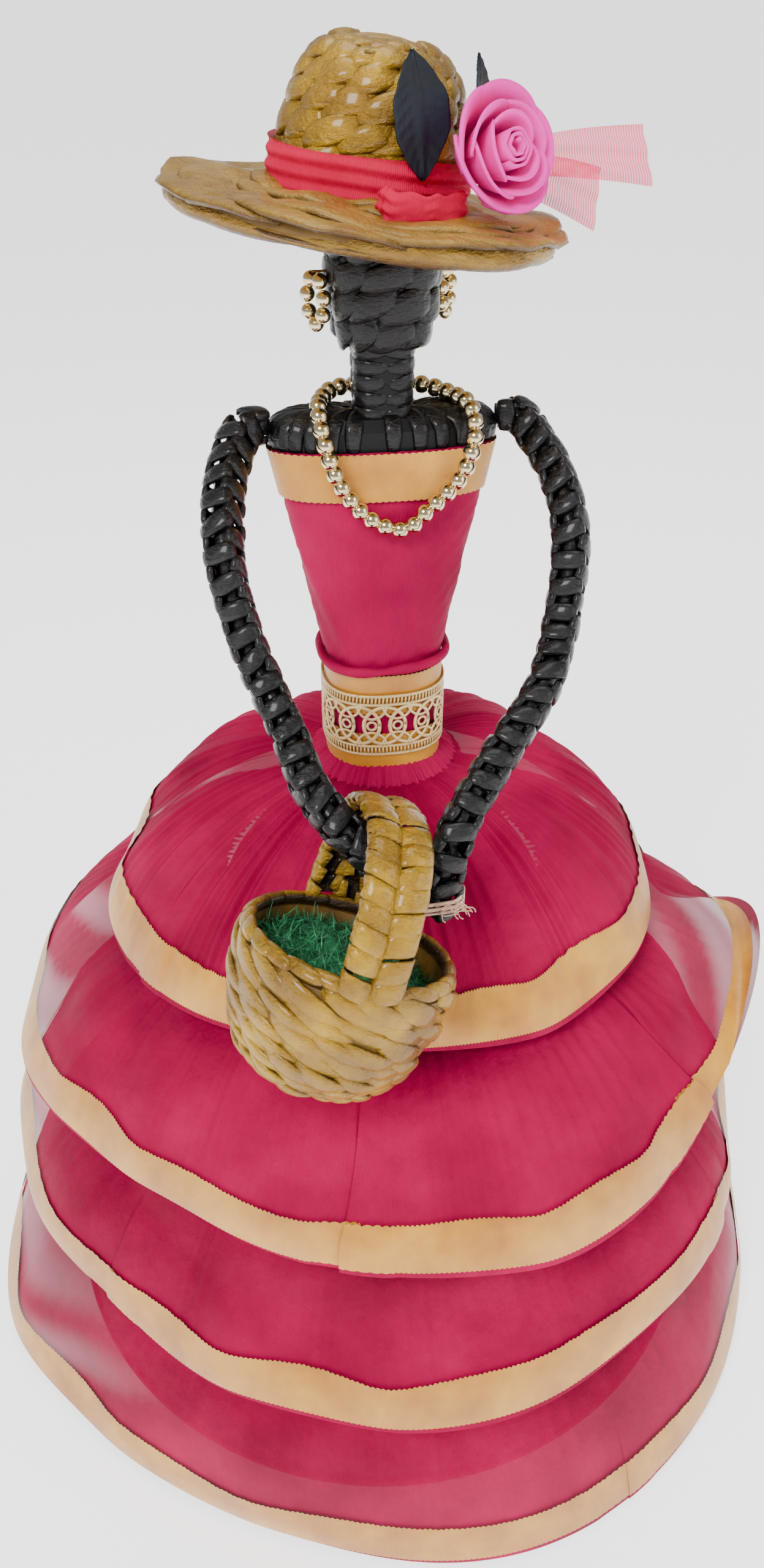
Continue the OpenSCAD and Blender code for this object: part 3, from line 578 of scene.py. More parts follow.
# rolled fold of cloth above the waist ribbon
centre, _ = torso_ring(WAIST_TOP + 2.2, 2.6)
centre = centre[:-1]
centre[:, 2] += 0.9 * wavy(np.linspace(0, TAU, len(centre), endpoint=False), (1, 2, 3), 8)
out = unit(centre * [1, 1, 0])
section = np.arange(12) * TAU / 12
lump = 1.7 + 0.3 * wavy(np.linspace(0, TAU, len(centre), endpoint=False), (4, 7, 11), 9)
fold = (centre[:, None] + out[:, None] * (np.cos(section) * 1.5)[None, :, None]
        + np.array([0, 0, 1.0]) * (np.sin(section)[None, :, None] * lump[:, None, None]))
faces = [[i * 12 + j, i * 12 + (j + 1) % 12, ((i + 1) % 720) * 12 + (j + 1) % 12, ((i + 1) % 720) * 12 + j]
         for i in range(720) for j in range(12)]
make("rolled_waist_fold", fold.reshape(-1, 3), faces, bodice_cloth, "figure",
     replaces=("waist_roll",), uv=np.tile([[0.0, 0.0]], (720 * 12, 1)))

# gathered top edge of the first tier, tucked under the lower waist ribbon
u = np.linspace(0, TAU, 721)
t = np.linspace(0, 1, 12)[:, None]
base, _ = torso_ring(264, 0.6)
base_r = np.hypot(base[:, 0], base[:, 1])[None]
a = np.arctan2(base[:, 0], -base[:, 1])[None]
pleats = wavy(a, (46, 57, 71), 77)
r = base_r + 0.6 + (30 - base_r) * t ** 1.2 + 0.55 * pleats * (0.3 + t)
z = 266.5 - 3.0 * t - 5.5 * t ** 2 + 0.25 * pleats
points = xyz(r * np.sin(a), -r * np.cos(a), z)
points[:, -1] = points[:, 0]
yoke = cloth_grid("gathered_waist_edge", points, bodice_cloth, "figure")

# metallic lace: overlapping rings between two corded edges
LACE_MID, LACE_H = 284, 25
lace_ring, lace_len = torso_ring(LACE_MID, 2.5)
lace_out = unit(lace_ring * [1, 1, 0])


def on_lace(s, h, off=0.0):
    """Point of the lace at s along the waist and h above its middle."""
    u = (np.asarray(s) % lace_len) / lace_len * 720
    place = np.stack([np.interp(u, np.arange(721), lace_ring[:, k]) for k in range(3)], -1)
    out = np.stack([np.interp(u, np.arange(721), lace_out[:, k]) for k in range(3)], -1)
    return place + out * off + np.array([0, 0, 1.0]) * np.asarray(h)[..., None], out


def lace_cord(s, h, width, thick=0.7):
    place, out = on_lace(np.asarray(s, float), np.asarray(h, float))
    return strand(place, out, width, thick, taper=0.95, sides=6)


motifs = 15
period = lace_len / motifs
parts = []
circle = np.linspace(0, TAU, 29)
for i in range(motifs):
    middle = i * period
    parts.append(lace_cord(middle + 7.6 * np.cos(circle), 7.6 * np.sin(circle), 1.5))
    for side in (-1, 1):
        arch = np.linspace(0, math.pi, 15)
        parts.append(lace_cord(middle + period / 2 + 5.4 * np.cos(arch),
                               side * (8.4 - 5.6 * np.sin(arch)), 1.1))
    parts.append(lace_cord(middle + period / 2 + 1.6 * np.cos(circle), 1.6 * np.sin(circle), 1.1))
    for side in (-1, 1):
        parts.append(lace_cord(middle + np.linspace(0, period, 9), np.full(9, side * 8.6), 1.2))
        parts.append(lace_cord(middle + np.linspace(0, period, 9), np.full(9, side * 12.0), 1.3))
        for q in range(7):
            at = middle + (q + 0.5) * period / 7
            parts.append(lace_cord([at, at + 0.1, at + 0.2], side * np.array([8.6, 10.3, 12.0]), 0.7, 0.6))
points, faces, _ = join(parts)
lace = make("metallic_waist_lace", points, faces, lace_thread, "figure",
            replaces=("waist_lace",))


# ---- head, neck and shoulders -------------------------------------------------
# Broad lacquered strips plaited over a paper core: slanted rows on the head, two
# columns of square blocks on the neck and upright strips over the shoulders.
def ring_surface(rows_of_half, z_of, low, high, e=0.8):
    """Surface of rounded-square rings: rows_of_half gives (share of height, half x, half y)."""
    table = np.array(rows_of_half)

    def surface(u, v):
        share = low + (high - low) * v
        hx = np.interp(share, table[:, 0], table[:, 1])
        hy = np.interp(share, table[:, 0], table[:, 2])
        a = TAU * u
        c, s = np.cos(a), np.sin(a)
        place = xyz(hx * np.sign(c) * np.abs(c) ** e, hy * np.sign(s) * np.abs(s) ** e, z_of(share))
        normal = unit(xyz(c / np.maximum(hx, 1), s / np.maximum(hy, 1), np.zeros_like(c)))
        return place, normal

    return surface


HEAD_SHAPE = [(0, 0.66), (0.12, 0.9), (0.3, 1), (0.62, 1.02), (0.86, 0.95), (1, 0.8)]
head_rows = [(s, 16.6 * g, 14.5 * g) for s, g in HEAD_SHAPE]
head_surface = ring_surface(head_rows, lambda s: 413 + 52 * s, 0.0, 1.0)
for node in ("head", "neck", "shoulder_yoke"):
    dress(node, core_black)
points, faces, shade = twined(head_surface, 6, 9, 9.5, 3.0, span=1.5, tilt=0.75, lift=1.2, seed=4, wild=0.13)
make("plaited_head", points, faces, lacquer, "figure", shade=shade)

neck_surface = ring_surface([(0, 9.4, 8.0), (1, 10.0, 8.4)], lambda s: 391 + 22 * s, -0.08, 1.05)
points, faces, shade = twined(neck_surface, 5, 4, 5.6, 2.0, span=1.02, tilt=0.12, lift=0.4, seed=6, shift=0.0,
                              wild=0.04)
make("plaited_neck", points, faces, lacquer, "figure", shade=shade)

parts = []
rng = np.random.default_rng(12)
for i in range(30):
    a = TAU * (i + 0.5) / 30 + rng.uniform(-0.03, 0.03)
    c, s = math.cos(a), math.sin(a)
    path = []
    for h, hx, hy in ((-0.5, 36.6, 12.2), (3.0, 36.8, 12.3), (6.0, 36.2, 12.0), (8.6, 33.0, 9.4),
                      (9.6, 26.0, 5.5), (9.7, 16.0, 2.0)):
        path.append([hx * np.sign(c) * abs(c) ** 0.8, hy * np.sign(s) * abs(s) ** 0.8, SHOULDER_Z + h])
    path = resample(smooth_path(path, 3), 1.6)
    out = unit(xyz(path[:, 0] * 0.25, path[:, 1] * 2, (path[:, 2] - SHOULDER_Z) * 1.0))
    parts.append(strand(path, out, 5.6 * rng.uniform(0.85, 1.1), 2.2, taper=0.6))
points, faces, shade = join(parts)
make("plaited_shoulders", points, faces, lacquer, "figure", shade=shade)


# ---- arms -----------------------------------------------------------------------
# Square plaits of four lacquered strips, stiff with varnish, bent down to the
# hands, which meet over the skirt and are tied with thread.
HAND_Y, HAND_Z, HAND_X = -107, 272, -4.5
ARM_Z, ARM_X, ELBOW_X, ARM_R = 388, 37.8, 55, 5.7
HAND_HALF = ARM_R + 0.35
REST = np.array([-24.0, HAND_Y + 7, HAND_Z + 21.5])


def upper_arm(side):
    return [(side * ARM_X, 0, ARM_Z), (side * (ARM_X + 7), -3, ARM_Z), (side * (ELBOW_X - 5), -11, ARM_Z - 6),
            (side * (ELBOW_X - 1), -25, ARM_Z - 15), (side * ELBOW_X, -37, ARM_Z - 26),
            (side * (ELBOW_X - 1.5), -44, ARM_Z - 39),
            (side * (ELBOW_X - 6), -53, ARM_Z + (HAND_Z - ARM_Z) * 0.48)]


left_x = HAND_X - HAND_HALF
right_x = HAND_X + HAND_HALF
LEFT_ARM = upper_arm(-1) + [tuple(REST + p) for p in ((-18, 34, 24), (-12, 15.5, 11), (-8, 8, 6.5),
                                                     (-4, 3, 3), (0, 0, 0), (5, -3, -4.5))] + [
    (left_x - 3.5, HAND_Y + 1.5, HAND_Z + 13), (left_x, HAND_Y, HAND_Z + 7), (left_x, HAND_Y, HAND_Z + 1),
    (left_x, HAND_Y, HAND_Z - 5)]
RIGHT_ARM = upper_arm(1) + [
    (ELBOW_X - 13, HAND_Y + 40, HAND_Z + 54), (ELBOW_X - 19, HAND_Y + 33, HAND_Z + 48),
    (ELBOW_X - 34, HAND_Y + 19, HAND_Z + 37), (right_x + 7, HAND_Y + 6, HAND_Z + 27),
    (right_x + 3, HAND_Y + 1.5, HAND_Z + 20), (right_x + 0.5, HAND_Y, HAND_Z + 12),
    (right_x, HAND_Y, HAND_Z + 4), (right_x, HAND_Y, HAND_Z - 5)]


def square_plait(route, step, radius, seed, turn_rate):
    """Stacked crossings of four flat strips round a core that follows the route."""
    rng = np.random.default_rng(seed)
    path = resample(smooth_path(route, 8), 0.5)
    along = unit(np.gradient(path, axis=0))
    side = unit(np.cross(along, [0.0, -0.6, 0.8]))
    out = np.cross(side, along)
    run = np.arange(len(path)) * 0.5
    parts = [tube(resample(path, 3), radius * 0.62)]
    levels = int(run[-1] / step)
    for level in range(levels):
        for q in range(4):
            at = (level + 0.5 + (0.5 if q % 2 else 0.0)) * step
            if at > run[-1] - 1:
                continue
            middle = math.radians(90 * q + 45) + turn_rate * at + rng.uniform(-0.12, 0.12)
            sweep = np.linspace(-0.999, 0.999, 13)
            a = middle + sweep * math.radians(55)
            place = at + sweep * step * (0.13 + rng.uniform(-0.1, 0.1)) * (1 if q % 2 else -1)
            place = np.clip(place, 0, run[-1] - 0.01)
            idx = place / 0.5
            base = np.stack([np.interp(idx, np.arange(len(path)), path[:, k]) for k in range(3)], 1)
            sx = np.stack([np.interp(idx, np.arange(len(path)), side[:, k]) for k in range(3)], 1)
            ox = np.stack([np.interp(idx, np.arange(len(path)), out[:, k]) for k in range(3)], 1)
            square = radius * 0.76 / np.maximum(np.abs(np.cos(a - middle)), 0.66)
            square = square * (0.78 + 0.34 * np.cos(sweep * math.pi / 2) ** 0.5) * rng.uniform(0.95, 1.05)
            normal = sx * np.cos(a)[:, None] + ox * np.sin(a)[:, None]
            parts.append(strand(base + normal * square[:, None], normal, step * 0.74, 2.6, taper=0.75))
    return join(parts)


for name, route, seed in (("left", LEFT_ARM, 21), ("right", RIGHT_ARM, 22)):
    points, faces, shade = square_plait(route, 8.4, ARM_R, seed, 0.006)
    make(f"plaited_arm_{name}", points, faces, lacquer, "figure", shade=shade,
         replaces=(f"arm_{name}",))

# thread wound round both hands, with frayed ends
rng = np.random.default_rng(31)
parts = []
turns = 6
t = np.linspace(0, 1, turns * 36)
a = t * turns * TAU
stadium = np.where(np.cos(a) > 0, 1.0, -1.0) * HAND_HALF
ring_r = ARM_R + 1.0
path = xyz(HAND_X + stadium * np.minimum(1, np.abs(np.cos(a)) * 3) + ring_r * np.cos(a),
                 HAND_Y + ring_r * np.sin(a), HAND_Z + 0.6 + 4.2 * t + 0.5 * np.sin(a * 0.7))
parts.append(tube(path, 0.42, 6))
for i in range(16):
    start = np.array([HAND_X + rng.uniform(2, 12), HAND_Y - ring_r - 0.3, HAND_Z + rng.uniform(1, 5)])
    lean = np.array([rng.uniform(0.0, 1.0), rng.uniform(-0.8, -0.1), rng.uniform(-0.8, 0.8)])
    s = np.linspace(0, rng.uniform(2.5, 7), 8)[:, None]
    curl = xyz(np.sin(s[:, 0] * 1.1 + i), np.cos(s[:, 0] * 0.9 + i), np.sin(s[:, 0] * 0.7 + 2 * i)) * 0.7
    parts.append(tube(start + unit(lean) * s + curl * s / 6, 0.18, 5))
points, faces, shade = join(parts)
make("wrist_thread_winding", points, faces, thread, "figure", replaces=("wrist_thread",))


# ---- hat --------------------------------------------------------------------------
# Plaited from gold-painted strips: slanted rows up the crown, and a crumpled
# brim with a lumpy folded rim. It is glued to the head with a slight tilt.
HAT = Matrix.Translation((-5, 0, 453)) @ Matrix.Rotation(math.radians(8), 4, "Y")
HAT_R = np.array(HAT.to_3x3())
HAT_T = np.array(HAT.translation)
CROWN_R, CROWN_H, BRIM_R, BRIM_T, RIM_R = 26.5, 41, 57, 4, 2.8


def hat_space(points):
    return points @ HAT_R.T + HAT_T


def crown_surface(u, v):
    a = np.pi / 2 * np.clip(v, 0, 1)
    r = CROWN_R * np.cos(a) ** 0.55
    z = CROWN_H * (0.1 + 0.9 * np.sin(a) ** 0.9)
    eps = 0.01
    b = np.clip(a + eps, 0, np.pi / 2)
    dr = CROWN_R * np.cos(b) ** 0.55 - r
    dz = CROWN_H * (0.1 + 0.9 * np.sin(b) ** 0.9) - z
    nr, nz = unit(np.stack([dz, -dr], -1) + 1e-6).T
    place = xyz(r * np.sin(TAU * u), -r * np.cos(TAU * u), z)
    normal = xyz(nr * np.sin(TAU * u), -nr * np.cos(TAU * u), nz)
    return hat_space(place), normal @ HAT_R.T


dress("hat_crown", core_gold)
points, faces, shade = twined(crown_surface, 6, 15, 7.4, 3.4, span=1.75, tilt=1.0, lift=1.5, seed=41,
                              wild=0.14, v0=0.02, v1=0.9)
make("plaited_crown", points, faces, gold_paper, "figure", shade=shade)
parts = []
rng = np.random.default_rng(43)
for i in range(7):
    y = -15 + 5 * i
    half = math.sqrt(max(20.0, 17 ** 2 - y * y))
    x = np.linspace(-half, half, 9)
    path = xyz(x, y + 1.2 * np.sin(x * 0.2 + i), CROWN_H + 0.8 - 0.012 * (x ** 2 + y * y) + 0 * x)
    parts.append(strand(hat_space(path), np.tile(HAT_R @ [0, 0, 1.0], (9, 1)), 6.5, 2.4))
points, faces, shade = join(parts)
make("plaited_crown_top", points, faces, gold_paper, "figure", shade=shade)

brim_grain = np.random.default_rng(44)


def brim_surface(u, v):
    r = 24 + (BRIM_R - 2.4 - 24) * v
    drop = 2.5 * np.clip((r - CROWN_R - 2) / (BRIM_R - RIM_R - CROWN_R - 2), 0, 1)
    a = TAU * u
    lumps = 1.6 * np.sin(5 * a + 0.1 * r) + 1.2 * np.sin(11 * a - 0.16 * r) + 0.8 * np.sin(17 * a + 0.3 * r)
    place = xyz(r * np.sin(a), -r * np.cos(a), BRIM_T / 2 - drop + 0.35 * lumps)
    return hat_space(place), np.tile(HAT_R @ [0, 0, 1.0], (len(np.atleast_1d(u)), 1))


dress("hat_brim", core_gold)
top = twined(brim_surface, 5, 12, 13.0, 3.0, span=2.0, tilt=1.2, lift=1.2, seed=45, wild=0.3, v1=1.06)


def under_surface(u, v):
    """The brim's underside."""
    place, normal = brim_surface(u, v)
    return place - HAT_R @ [0, 0, BRIM_T + 0.4], -normal


under = twined(under_surface, 4, 11, 10.5, 2.4, span=1.9, tilt=-1.2, lift=0.5, seed=46, wild=0.2)
points, faces, shade = join([top, under])
make("plaited_brim", points, faces, brim_paper, "figure", shade=shade)
parts = []
for i in range(13):
    j = brim_grain.uniform(-1, 1, 5)
    a = TAU * (i + 0.25 * j[0] + np.linspace(0, 2.0, 13)) / 13
    t = np.linspace(0, 1, 13)
    r = BRIM_R - RIM_R - 0.3 + 1.6 * (t - 0.5) * (1 + 0.5 * j[1]) + 0.9 * np.sin(3 * a)
    z = -2.5 + 1.4 * (0.5 - t) + 0.5 * j[2]
    path = xyz(r * np.sin(a), -r * np.cos(a), z)
    lean = xyz(np.sin(a) * 0.6, -np.cos(a) * 0.6, np.full(13, 0.8))
    parts.append(strand(hat_space(path), lean @ HAT_R.T, 9.2 + 1.2 * j[3], 5.6 + 0.9 * j[4],
                        taper=0.45, sides=12))
points, faces, shade = join(parts)
make("folded_brim_rim", points, faces, brim_paper, "figure", shade=shade)

# pleated organza band with a bow loop at the front
BAND_W, BAND_LOW = 12, 2.6
u = np.linspace(0, TAU, 361)
v = np.linspace(0, 1, 41)[:, None]
pleat = 0.4 * np.sin(v * 3 * TAU + 0.5 * np.sin(3 * u)[None] + 0.9 * np.sin(2 * u)[None])
r = CROWN_R + 3.3 + pleat + 0.4 * np.sin(7 * u)[None]
z = BAND_LOW + BAND_W * v + 0.8 * np.sin(2 * u + 0.5)[None]
points = xyz(r * np.sin(u)[None], -r * np.cos(u)[None], z + 0 * r)
points[:, -1] = points[:, 0]
points = hat_space(points)
band = cloth_grid("pleated_hat_band", points, hat_organza, "figure", ("hat_band",))

loop_turn = turn(14, "Z")
a = np.linspace(math.radians(-200), math.radians(20), 61)
v = np.linspace(-1, 1, 25)[:, None]
radius = 6.4 + 1.0 * np.cos(3 * a)[None] - 0.7 * v * v
x = 2.05 * radius * np.cos(a)[None] + 0.5 * np.sin(9 * v)
y = -(CROWN_R + 9.0) + radius * np.sin(a)[None] * 0.85
z = 3.4 + 4.4 * v * (1 + 0.1 * np.cos(2 * a)[None]) + 0.4 * np.sin(9 * a)[None] + 1.4
points = hat_space(xyz(x + 0 * z, y + 0 * z, z + 0 * x) @ loop_turn.T)
loop = cloth_grid("organza_bow_loop", points, hat_organza, "figure", ("bow_loop",))

# sheer ribbon ends standing out behind the rose
for index, (tilt, y0, length, drop) in enumerate(((8, 6, 50, 0.0), (-10, 0, 36, 1.0))):
    s = np.linspace(0, 1, 41)[None]
    w = np.linspace(-1, 1, 25)[:, None]
    half = 2.5 + 6.0 * s ** 0.7
    x = length * s - 2.5 * w * s
    z = half * w + 2.0 * np.sin(2.2 * s)
    y = 1.3 * np.sin(7 * w + 3 * s) * (0.4 + s) * 0.7 + 1.5 * np.sin(4 * s) + 0 * x
    flat = xyz(x + 0 * z, y + 0 * z, z + 0 * x)
    flat = flat @ turn(-tilt, "Y").T + [CROWN_R + 6.8, 6 + y0, 14]
    points = hat_space(flat @ turn(-8, "Z").T)
    tail = cloth_grid(f"sheer_ribbon_end_{index + 1}", points, sheer, "figure",
                      ("ribbon_tails",))


# ---- rose and leaves -----------------------------------------------------------
# Petals of thin craft foam rolled round a spiral heart, with two dark leaves,
# glued to the band at the front right of the crown.
FLOWER = (HAT @ Matrix.Rotation(math.radians(50), 4, "Z") @ Matrix.Translation((0, -34.8, 17))
          @ Matrix.Rotation(math.radians(24 - 50), 4, "Z") @ Matrix.Rotation(math.radians(68), 4, "X"))
FLOWER_R = np.array(FLOWER.to_3x3())
FLOWER_T = np.array(FLOWER.translation)


def thick_sheet(points, thickness):
    """Closed solid from a grid: the grid and its copy pushed back along the normals."""
    rows, cols = points.shape[:2]
    du = np.gradient(points, axis=1)
    dv = np.gradient(points, axis=0)
    normal = unit(np.cross(du, dv))
    back = points - normal * thickness
    count = rows * cols
    faces = grid_faces(rows, cols)
    faces = faces + [[count + q for q in f[::-1]] for f in faces]
    border = ([j for j in range(cols)] + [i * cols + cols - 1 for i in range(1, rows)]
              + [(rows - 1) * cols + j for j in range(cols - 2, -1, -1)]
              + [i * cols for i in range(rows - 2, 0, -1)])
    for a, b in zip(border, border[1:] + border[:1]):
        faces.append([b, a, count + a, count + b])
    return np.concatenate([points.reshape(-1, 3), back.reshape(-1, 3)]), faces, np.ones(2 * count)


def petal(angle, half, r_base, r_top, height, roll, seed):
    """One cupped petal round the flower's axis with its lip rolled outwards."""
    rng = np.random.default_rng(seed)
    u = np.linspace(-1, 1, 21)[None]
    v = np.linspace(0, 1, 15)[:, None]
    top = height * (1 - 0.22 * np.abs(u) ** 2.5) * v
    r = r_base + (r_top - r_base) * np.sin(v * np.pi / 2) ** 0.8 + roll * v ** 5 * (1 - 0.3 * u ** 2)
    r = r + 0.5 * np.sin(2.5 * u + rng.uniform(0, 6)) * v
    top = top - 0.35 * roll * v ** 6
    a = angle + u * half * (0.55 + 0.45 * np.sin(np.pi / 2 * np.minimum(1, v * 1.3)))
    return thick_sheet(xyz(r * np.sin(a), r * np.cos(a), top + 0 * a), 0.9)


parts = []
seed = 60
for count, start, half, base, top_r, height, roll in ((5, 0.2, 0.95, 6.0, 13.0, 14.5, 3.4),
                                                      (4, 0.8, 1.0, 4.5, 9.8, 16.5, 2.2),
                                                      (3, 0.3, 1.25, 3.0, 6.4, 17.2, 1.4)):
    for i in range(count):
        seed += 1
        parts.append(petal(start + TAU * i / count, half, base, top_r, height, roll, seed))
points, faces, shade = join(parts)
make("foam_rose_petals", points @ FLOWER_R.T + FLOWER_T, faces, foam, "figure",
     replaces=("rose_petals",))
t = np.linspace(0, 1, 90)[None]
v = np.linspace(0, 1, 8)[:, None]
a = t * 2.6 * TAU
r = 0.7 + 3.6 * t
grid = xyz((r + 0.4 * v) * np.sin(a), (r + 0.4 * v) * np.cos(a),
           2.5 + 15.0 * v - 0.8 * t + 0.3 * np.sin(5 * a))
points, faces, shade = thick_sheet(grid, 0.8)
make("foam_rose_heart", points @ FLOWER_R.T + FLOWER_T, faces, foam, "figure",
     replaces=("rose_heart",))


def leaf(name, node, rotation, place, lean, roll, length, width):
    """A pointed cloth leaf with a raised midrib and side veins, cupped a little."""
    v = np.linspace(0, 1, 33)[:, None]
    u = np.linspace(-1, 1, 25)[None]
    half = width / 2 * np.sin(np.pi * np.clip(v, 0.004, 0.996)) ** 0.8 * (1 + 0.03 * np.sin(22 * v))
    rib = 0.5 * np.exp(-(u * 6) ** 2)
    rib = rib + 0.16 * np.cos((v * 9 + np.abs(u) * 1.6) * TAU) * (1 - np.exp(-(u * 5) ** 2))
    z = 1.3 * np.abs(u) ** 1.6 * np.sin(np.pi * v) + 1.6 * np.sin(np.pi * v * 0.9) + rib * 0.8
    grid = xyz(half * u + 0 * z, length * v + 0 * z, z)
    points, faces, _ = thick_sheet(grid, 0.45)
    points = points @ turn(roll, "Z").T @ turn(lean, "X").T + place
    points = hat_space(points @ turn(rotation, "Z").T)
    make(name, points, faces, leaf_mat, "figure", replaces=(node,))


leaf("dark_leaf_front", "leaf_front", 20, [0, -30.6, 11], 83, 13, 31, 17.5)
leaf("dark_leaf_back", "leaf_back", 62, [0, -29.5, 16], 86, 6, 26.4, 15.3)


# ---- jewellery --------------------------------------------------------------------
# Metallised plastic beads on thread: a short string round the neck, and a small
# loop of beads at each side of the head.
NECK_HALF, BEAD_R, BEADS = (9.4, 8.0), 3.0, 36
CHEST_Y = -(12.0 + 1.9 + 0.8 - 0.8 + BEAD_R + 0.3)
NAPE_Y, NECK_SIDE, BEAD_Z = NECK_HALF[1] + 1 + BEAD_R + 0.3, NECK_HALF[0] + 1.5 + BEAD_R, 391 + BEAD_R + 0.3
NECKLACE = [(0, NAPE_Y, BEAD_Z + 2), (NECK_SIDE, NAPE_Y - 3, BEAD_Z + 2),
            (NECK_SIDE + 9, NAPE_Y - 12, BEAD_Z + 1),
            (NECK_SIDE + 13, CHEST_Y + 7, BEAD_Z), (NECK_SIDE + 13, CHEST_Y - 1.5, BEAD_Z - 7),
            (NECK_SIDE + 9, CHEST_Y - 1.5, BEAD_Z - 20), (NECK_SIDE - 3, CHEST_Y - 1.5, BEAD_Z - 32),
            (4, CHEST_Y - 1.5, BEAD_Z - 37), (-NECK_SIDE + 6, CHEST_Y - 1.5, BEAD_Z - 32),
            (-NECK_SIDE - 3, CHEST_Y - 1.5, BEAD_Z - 20), (-NECK_SIDE - 7, CHEST_Y - 1.5, BEAD_Z - 8),
            (-NECK_SIDE - 8, CHEST_Y + 7, BEAD_Z), (-NECK_SIDE - 6, NAPE_Y - 12, BEAD_Z + 1),
            (-NECK_SIDE, NAPE_Y - 3, BEAD_Z + 2)]


def spaced(loop, count, shift=0.0):
    """Points evenly spaced round a closed path."""
    run = np.concatenate([[0], np.cumsum(np.linalg.norm(np.diff(loop, axis=0), axis=1))])
    at = (np.arange(count) + shift) * run[-1] / count
    return np.stack([np.interp(at, run, loop[:, k]) for k in range(3)], 1)


ring = NECKLACE[-2:] + NECKLACE + NECKLACE[:3]
string = smooth_path(ring, 6)[12:-12 + 1]
necklace_places = spaced(string, BEADS)
EAR_LOOP = 7 * 5 * 0.198
ear_angle = np.radians(np.arange(37) * 10.0)
ear_ring = xyz(0 * ear_angle, 0.62 * EAR_LOOP * np.sin(ear_angle), EAR_LOOP * np.cos(ear_angle))


def ear_places(side, y):
    """Middles of the seven beads of one earring."""
    loop = (spaced(ear_ring, 7, 0.5) - [0, 0, EAR_LOOP]) @ turn(-side * 30, "Z").T
    return loop + [side * (16.6 * 1.009 + 2.5 + 1.9), y, 413 + 22 - 1.4]


def beads(name, node, body, places, radius):
    """Round beads in the places of a CAD node's own."""
    lat = np.linspace(0, np.pi, 17)[:, None]
    lon = np.linspace(0, TAU, 24, endpoint=False)[None]
    ball = xyz(np.sin(lat) * np.cos(lon), np.sin(lat) * np.sin(lon), np.cos(lat) + 0 * lon).reshape(-1, 3)
    parts = [(ball * radius + middle, grid_faces(17, 24, True), np.ones(len(ball))) for middle in places]
    points, faces, shade = join(parts)
    make(name, points, faces, bead_metal, body, replaces=(node,))


beads("necklace_bead_string", "necklace_beads", "necklace", necklace_places, 2.93)
beads("earring_bead_loop_left", "earring_left", "earring_left", ear_places(-1, -4), 2.42)
beads("earring_bead_loop_right", "earring_right", "earring_right", ear_places(1, 6), 2.42)
dress("necklace_thread", wire)
dress("earring_hook_left", wire)
dress("earring_hook_right", wire)


# ---- basket ------------------------------------------------------------------------
# Plaited like the hat: slanted rows round the bowl, a thick rim, and a handle of
# two wrapped tubes side by side. Dyed moss fills it. It hangs on the left forearm.
BASKET_R, BASKET_D, BASKET_TOP = 34, 45, -2.55
HANDLE_H, HANDLE_W, HANDLE_T, HANDLE_TURN = 46, 18, 4, -84
BASKET = (Matrix.Translation(tuple(REST + [-3.6, -11, -31])) @ Matrix.Rotation(math.radians(-9), 4, "Z")
          @ Matrix.Rotation(math.radians(18), 4, "Y") @ Matrix.Rotation(math.radians(-18), 4, "X"))
BASKET_M = np.array(BASKET.to_3x3())
BASKET_P = np.array(BASKET.translation)


def basket_space(points):
    return points @ BASKET_M.T + BASKET_P


def bowl_surface(u, v):
    a = np.pi / 2 * np.clip(v, 0, 0.995)
    depth = BASKET_D + BASKET_TOP
    r = BASKET_R * np.cos(a) ** 0.62
    z = BASKET_TOP - depth * np.sin(a)
    b = a + 0.01
    dr = BASKET_R * np.maximum(np.cos(b), 1e-4) ** 0.62 - r
    dz = BASKET_TOP - depth * np.sin(b) - z
    normal2 = unit(np.stack([-dz, dr], -1))
    c, s = np.cos(TAU * u), np.sin(TAU * u)
    place = xyz(r * c, r * s, z)
    normal = xyz(normal2[..., 0] * c, normal2[..., 0] * s, normal2[..., 1])
    return basket_space(place), normal @ BASKET_M.T


dress("basket_body", core_gold)
points, faces, shade = twined(bowl_surface, 9, 16, 6.6, 2.8, span=1.9, tilt=1.25, lift=1.3, seed=51,
                              wild=0.24, v0=0.0, v1=0.98)
make("plaited_basket_bowl", points, faces, gold_paper, "basket", shade=shade)

rim_parts = []
rng = np.random.default_rng(52)
rim_mid = BASKET_R - 1.8
for i in range(22):
    j = rng.uniform(-1, 1, 3)
    a = TAU * (i + 0.15 * j[0] + np.linspace(0, 1.45, 9)) / 22
    t = np.linspace(0, 1, 9)
    r = rim_mid + 1.6 * (t - 0.5)
    path = xyz(r * np.cos(a), r * np.sin(a), 0.9 * (0.5 - t) + 0.2 * j[1])
    lean = xyz(np.cos(a), np.sin(a), np.full(9, 0.8))
    rim_parts.append(strand(basket_space(path), lean @ BASKET_M.T, 5.0, 4.0, taper=0.45))
points, faces, shade = join(rim_parts)
make("plaited_basket_rim", points, faces, gold_paper, "basket", shade=shade,
     replaces=("basket_rim",))

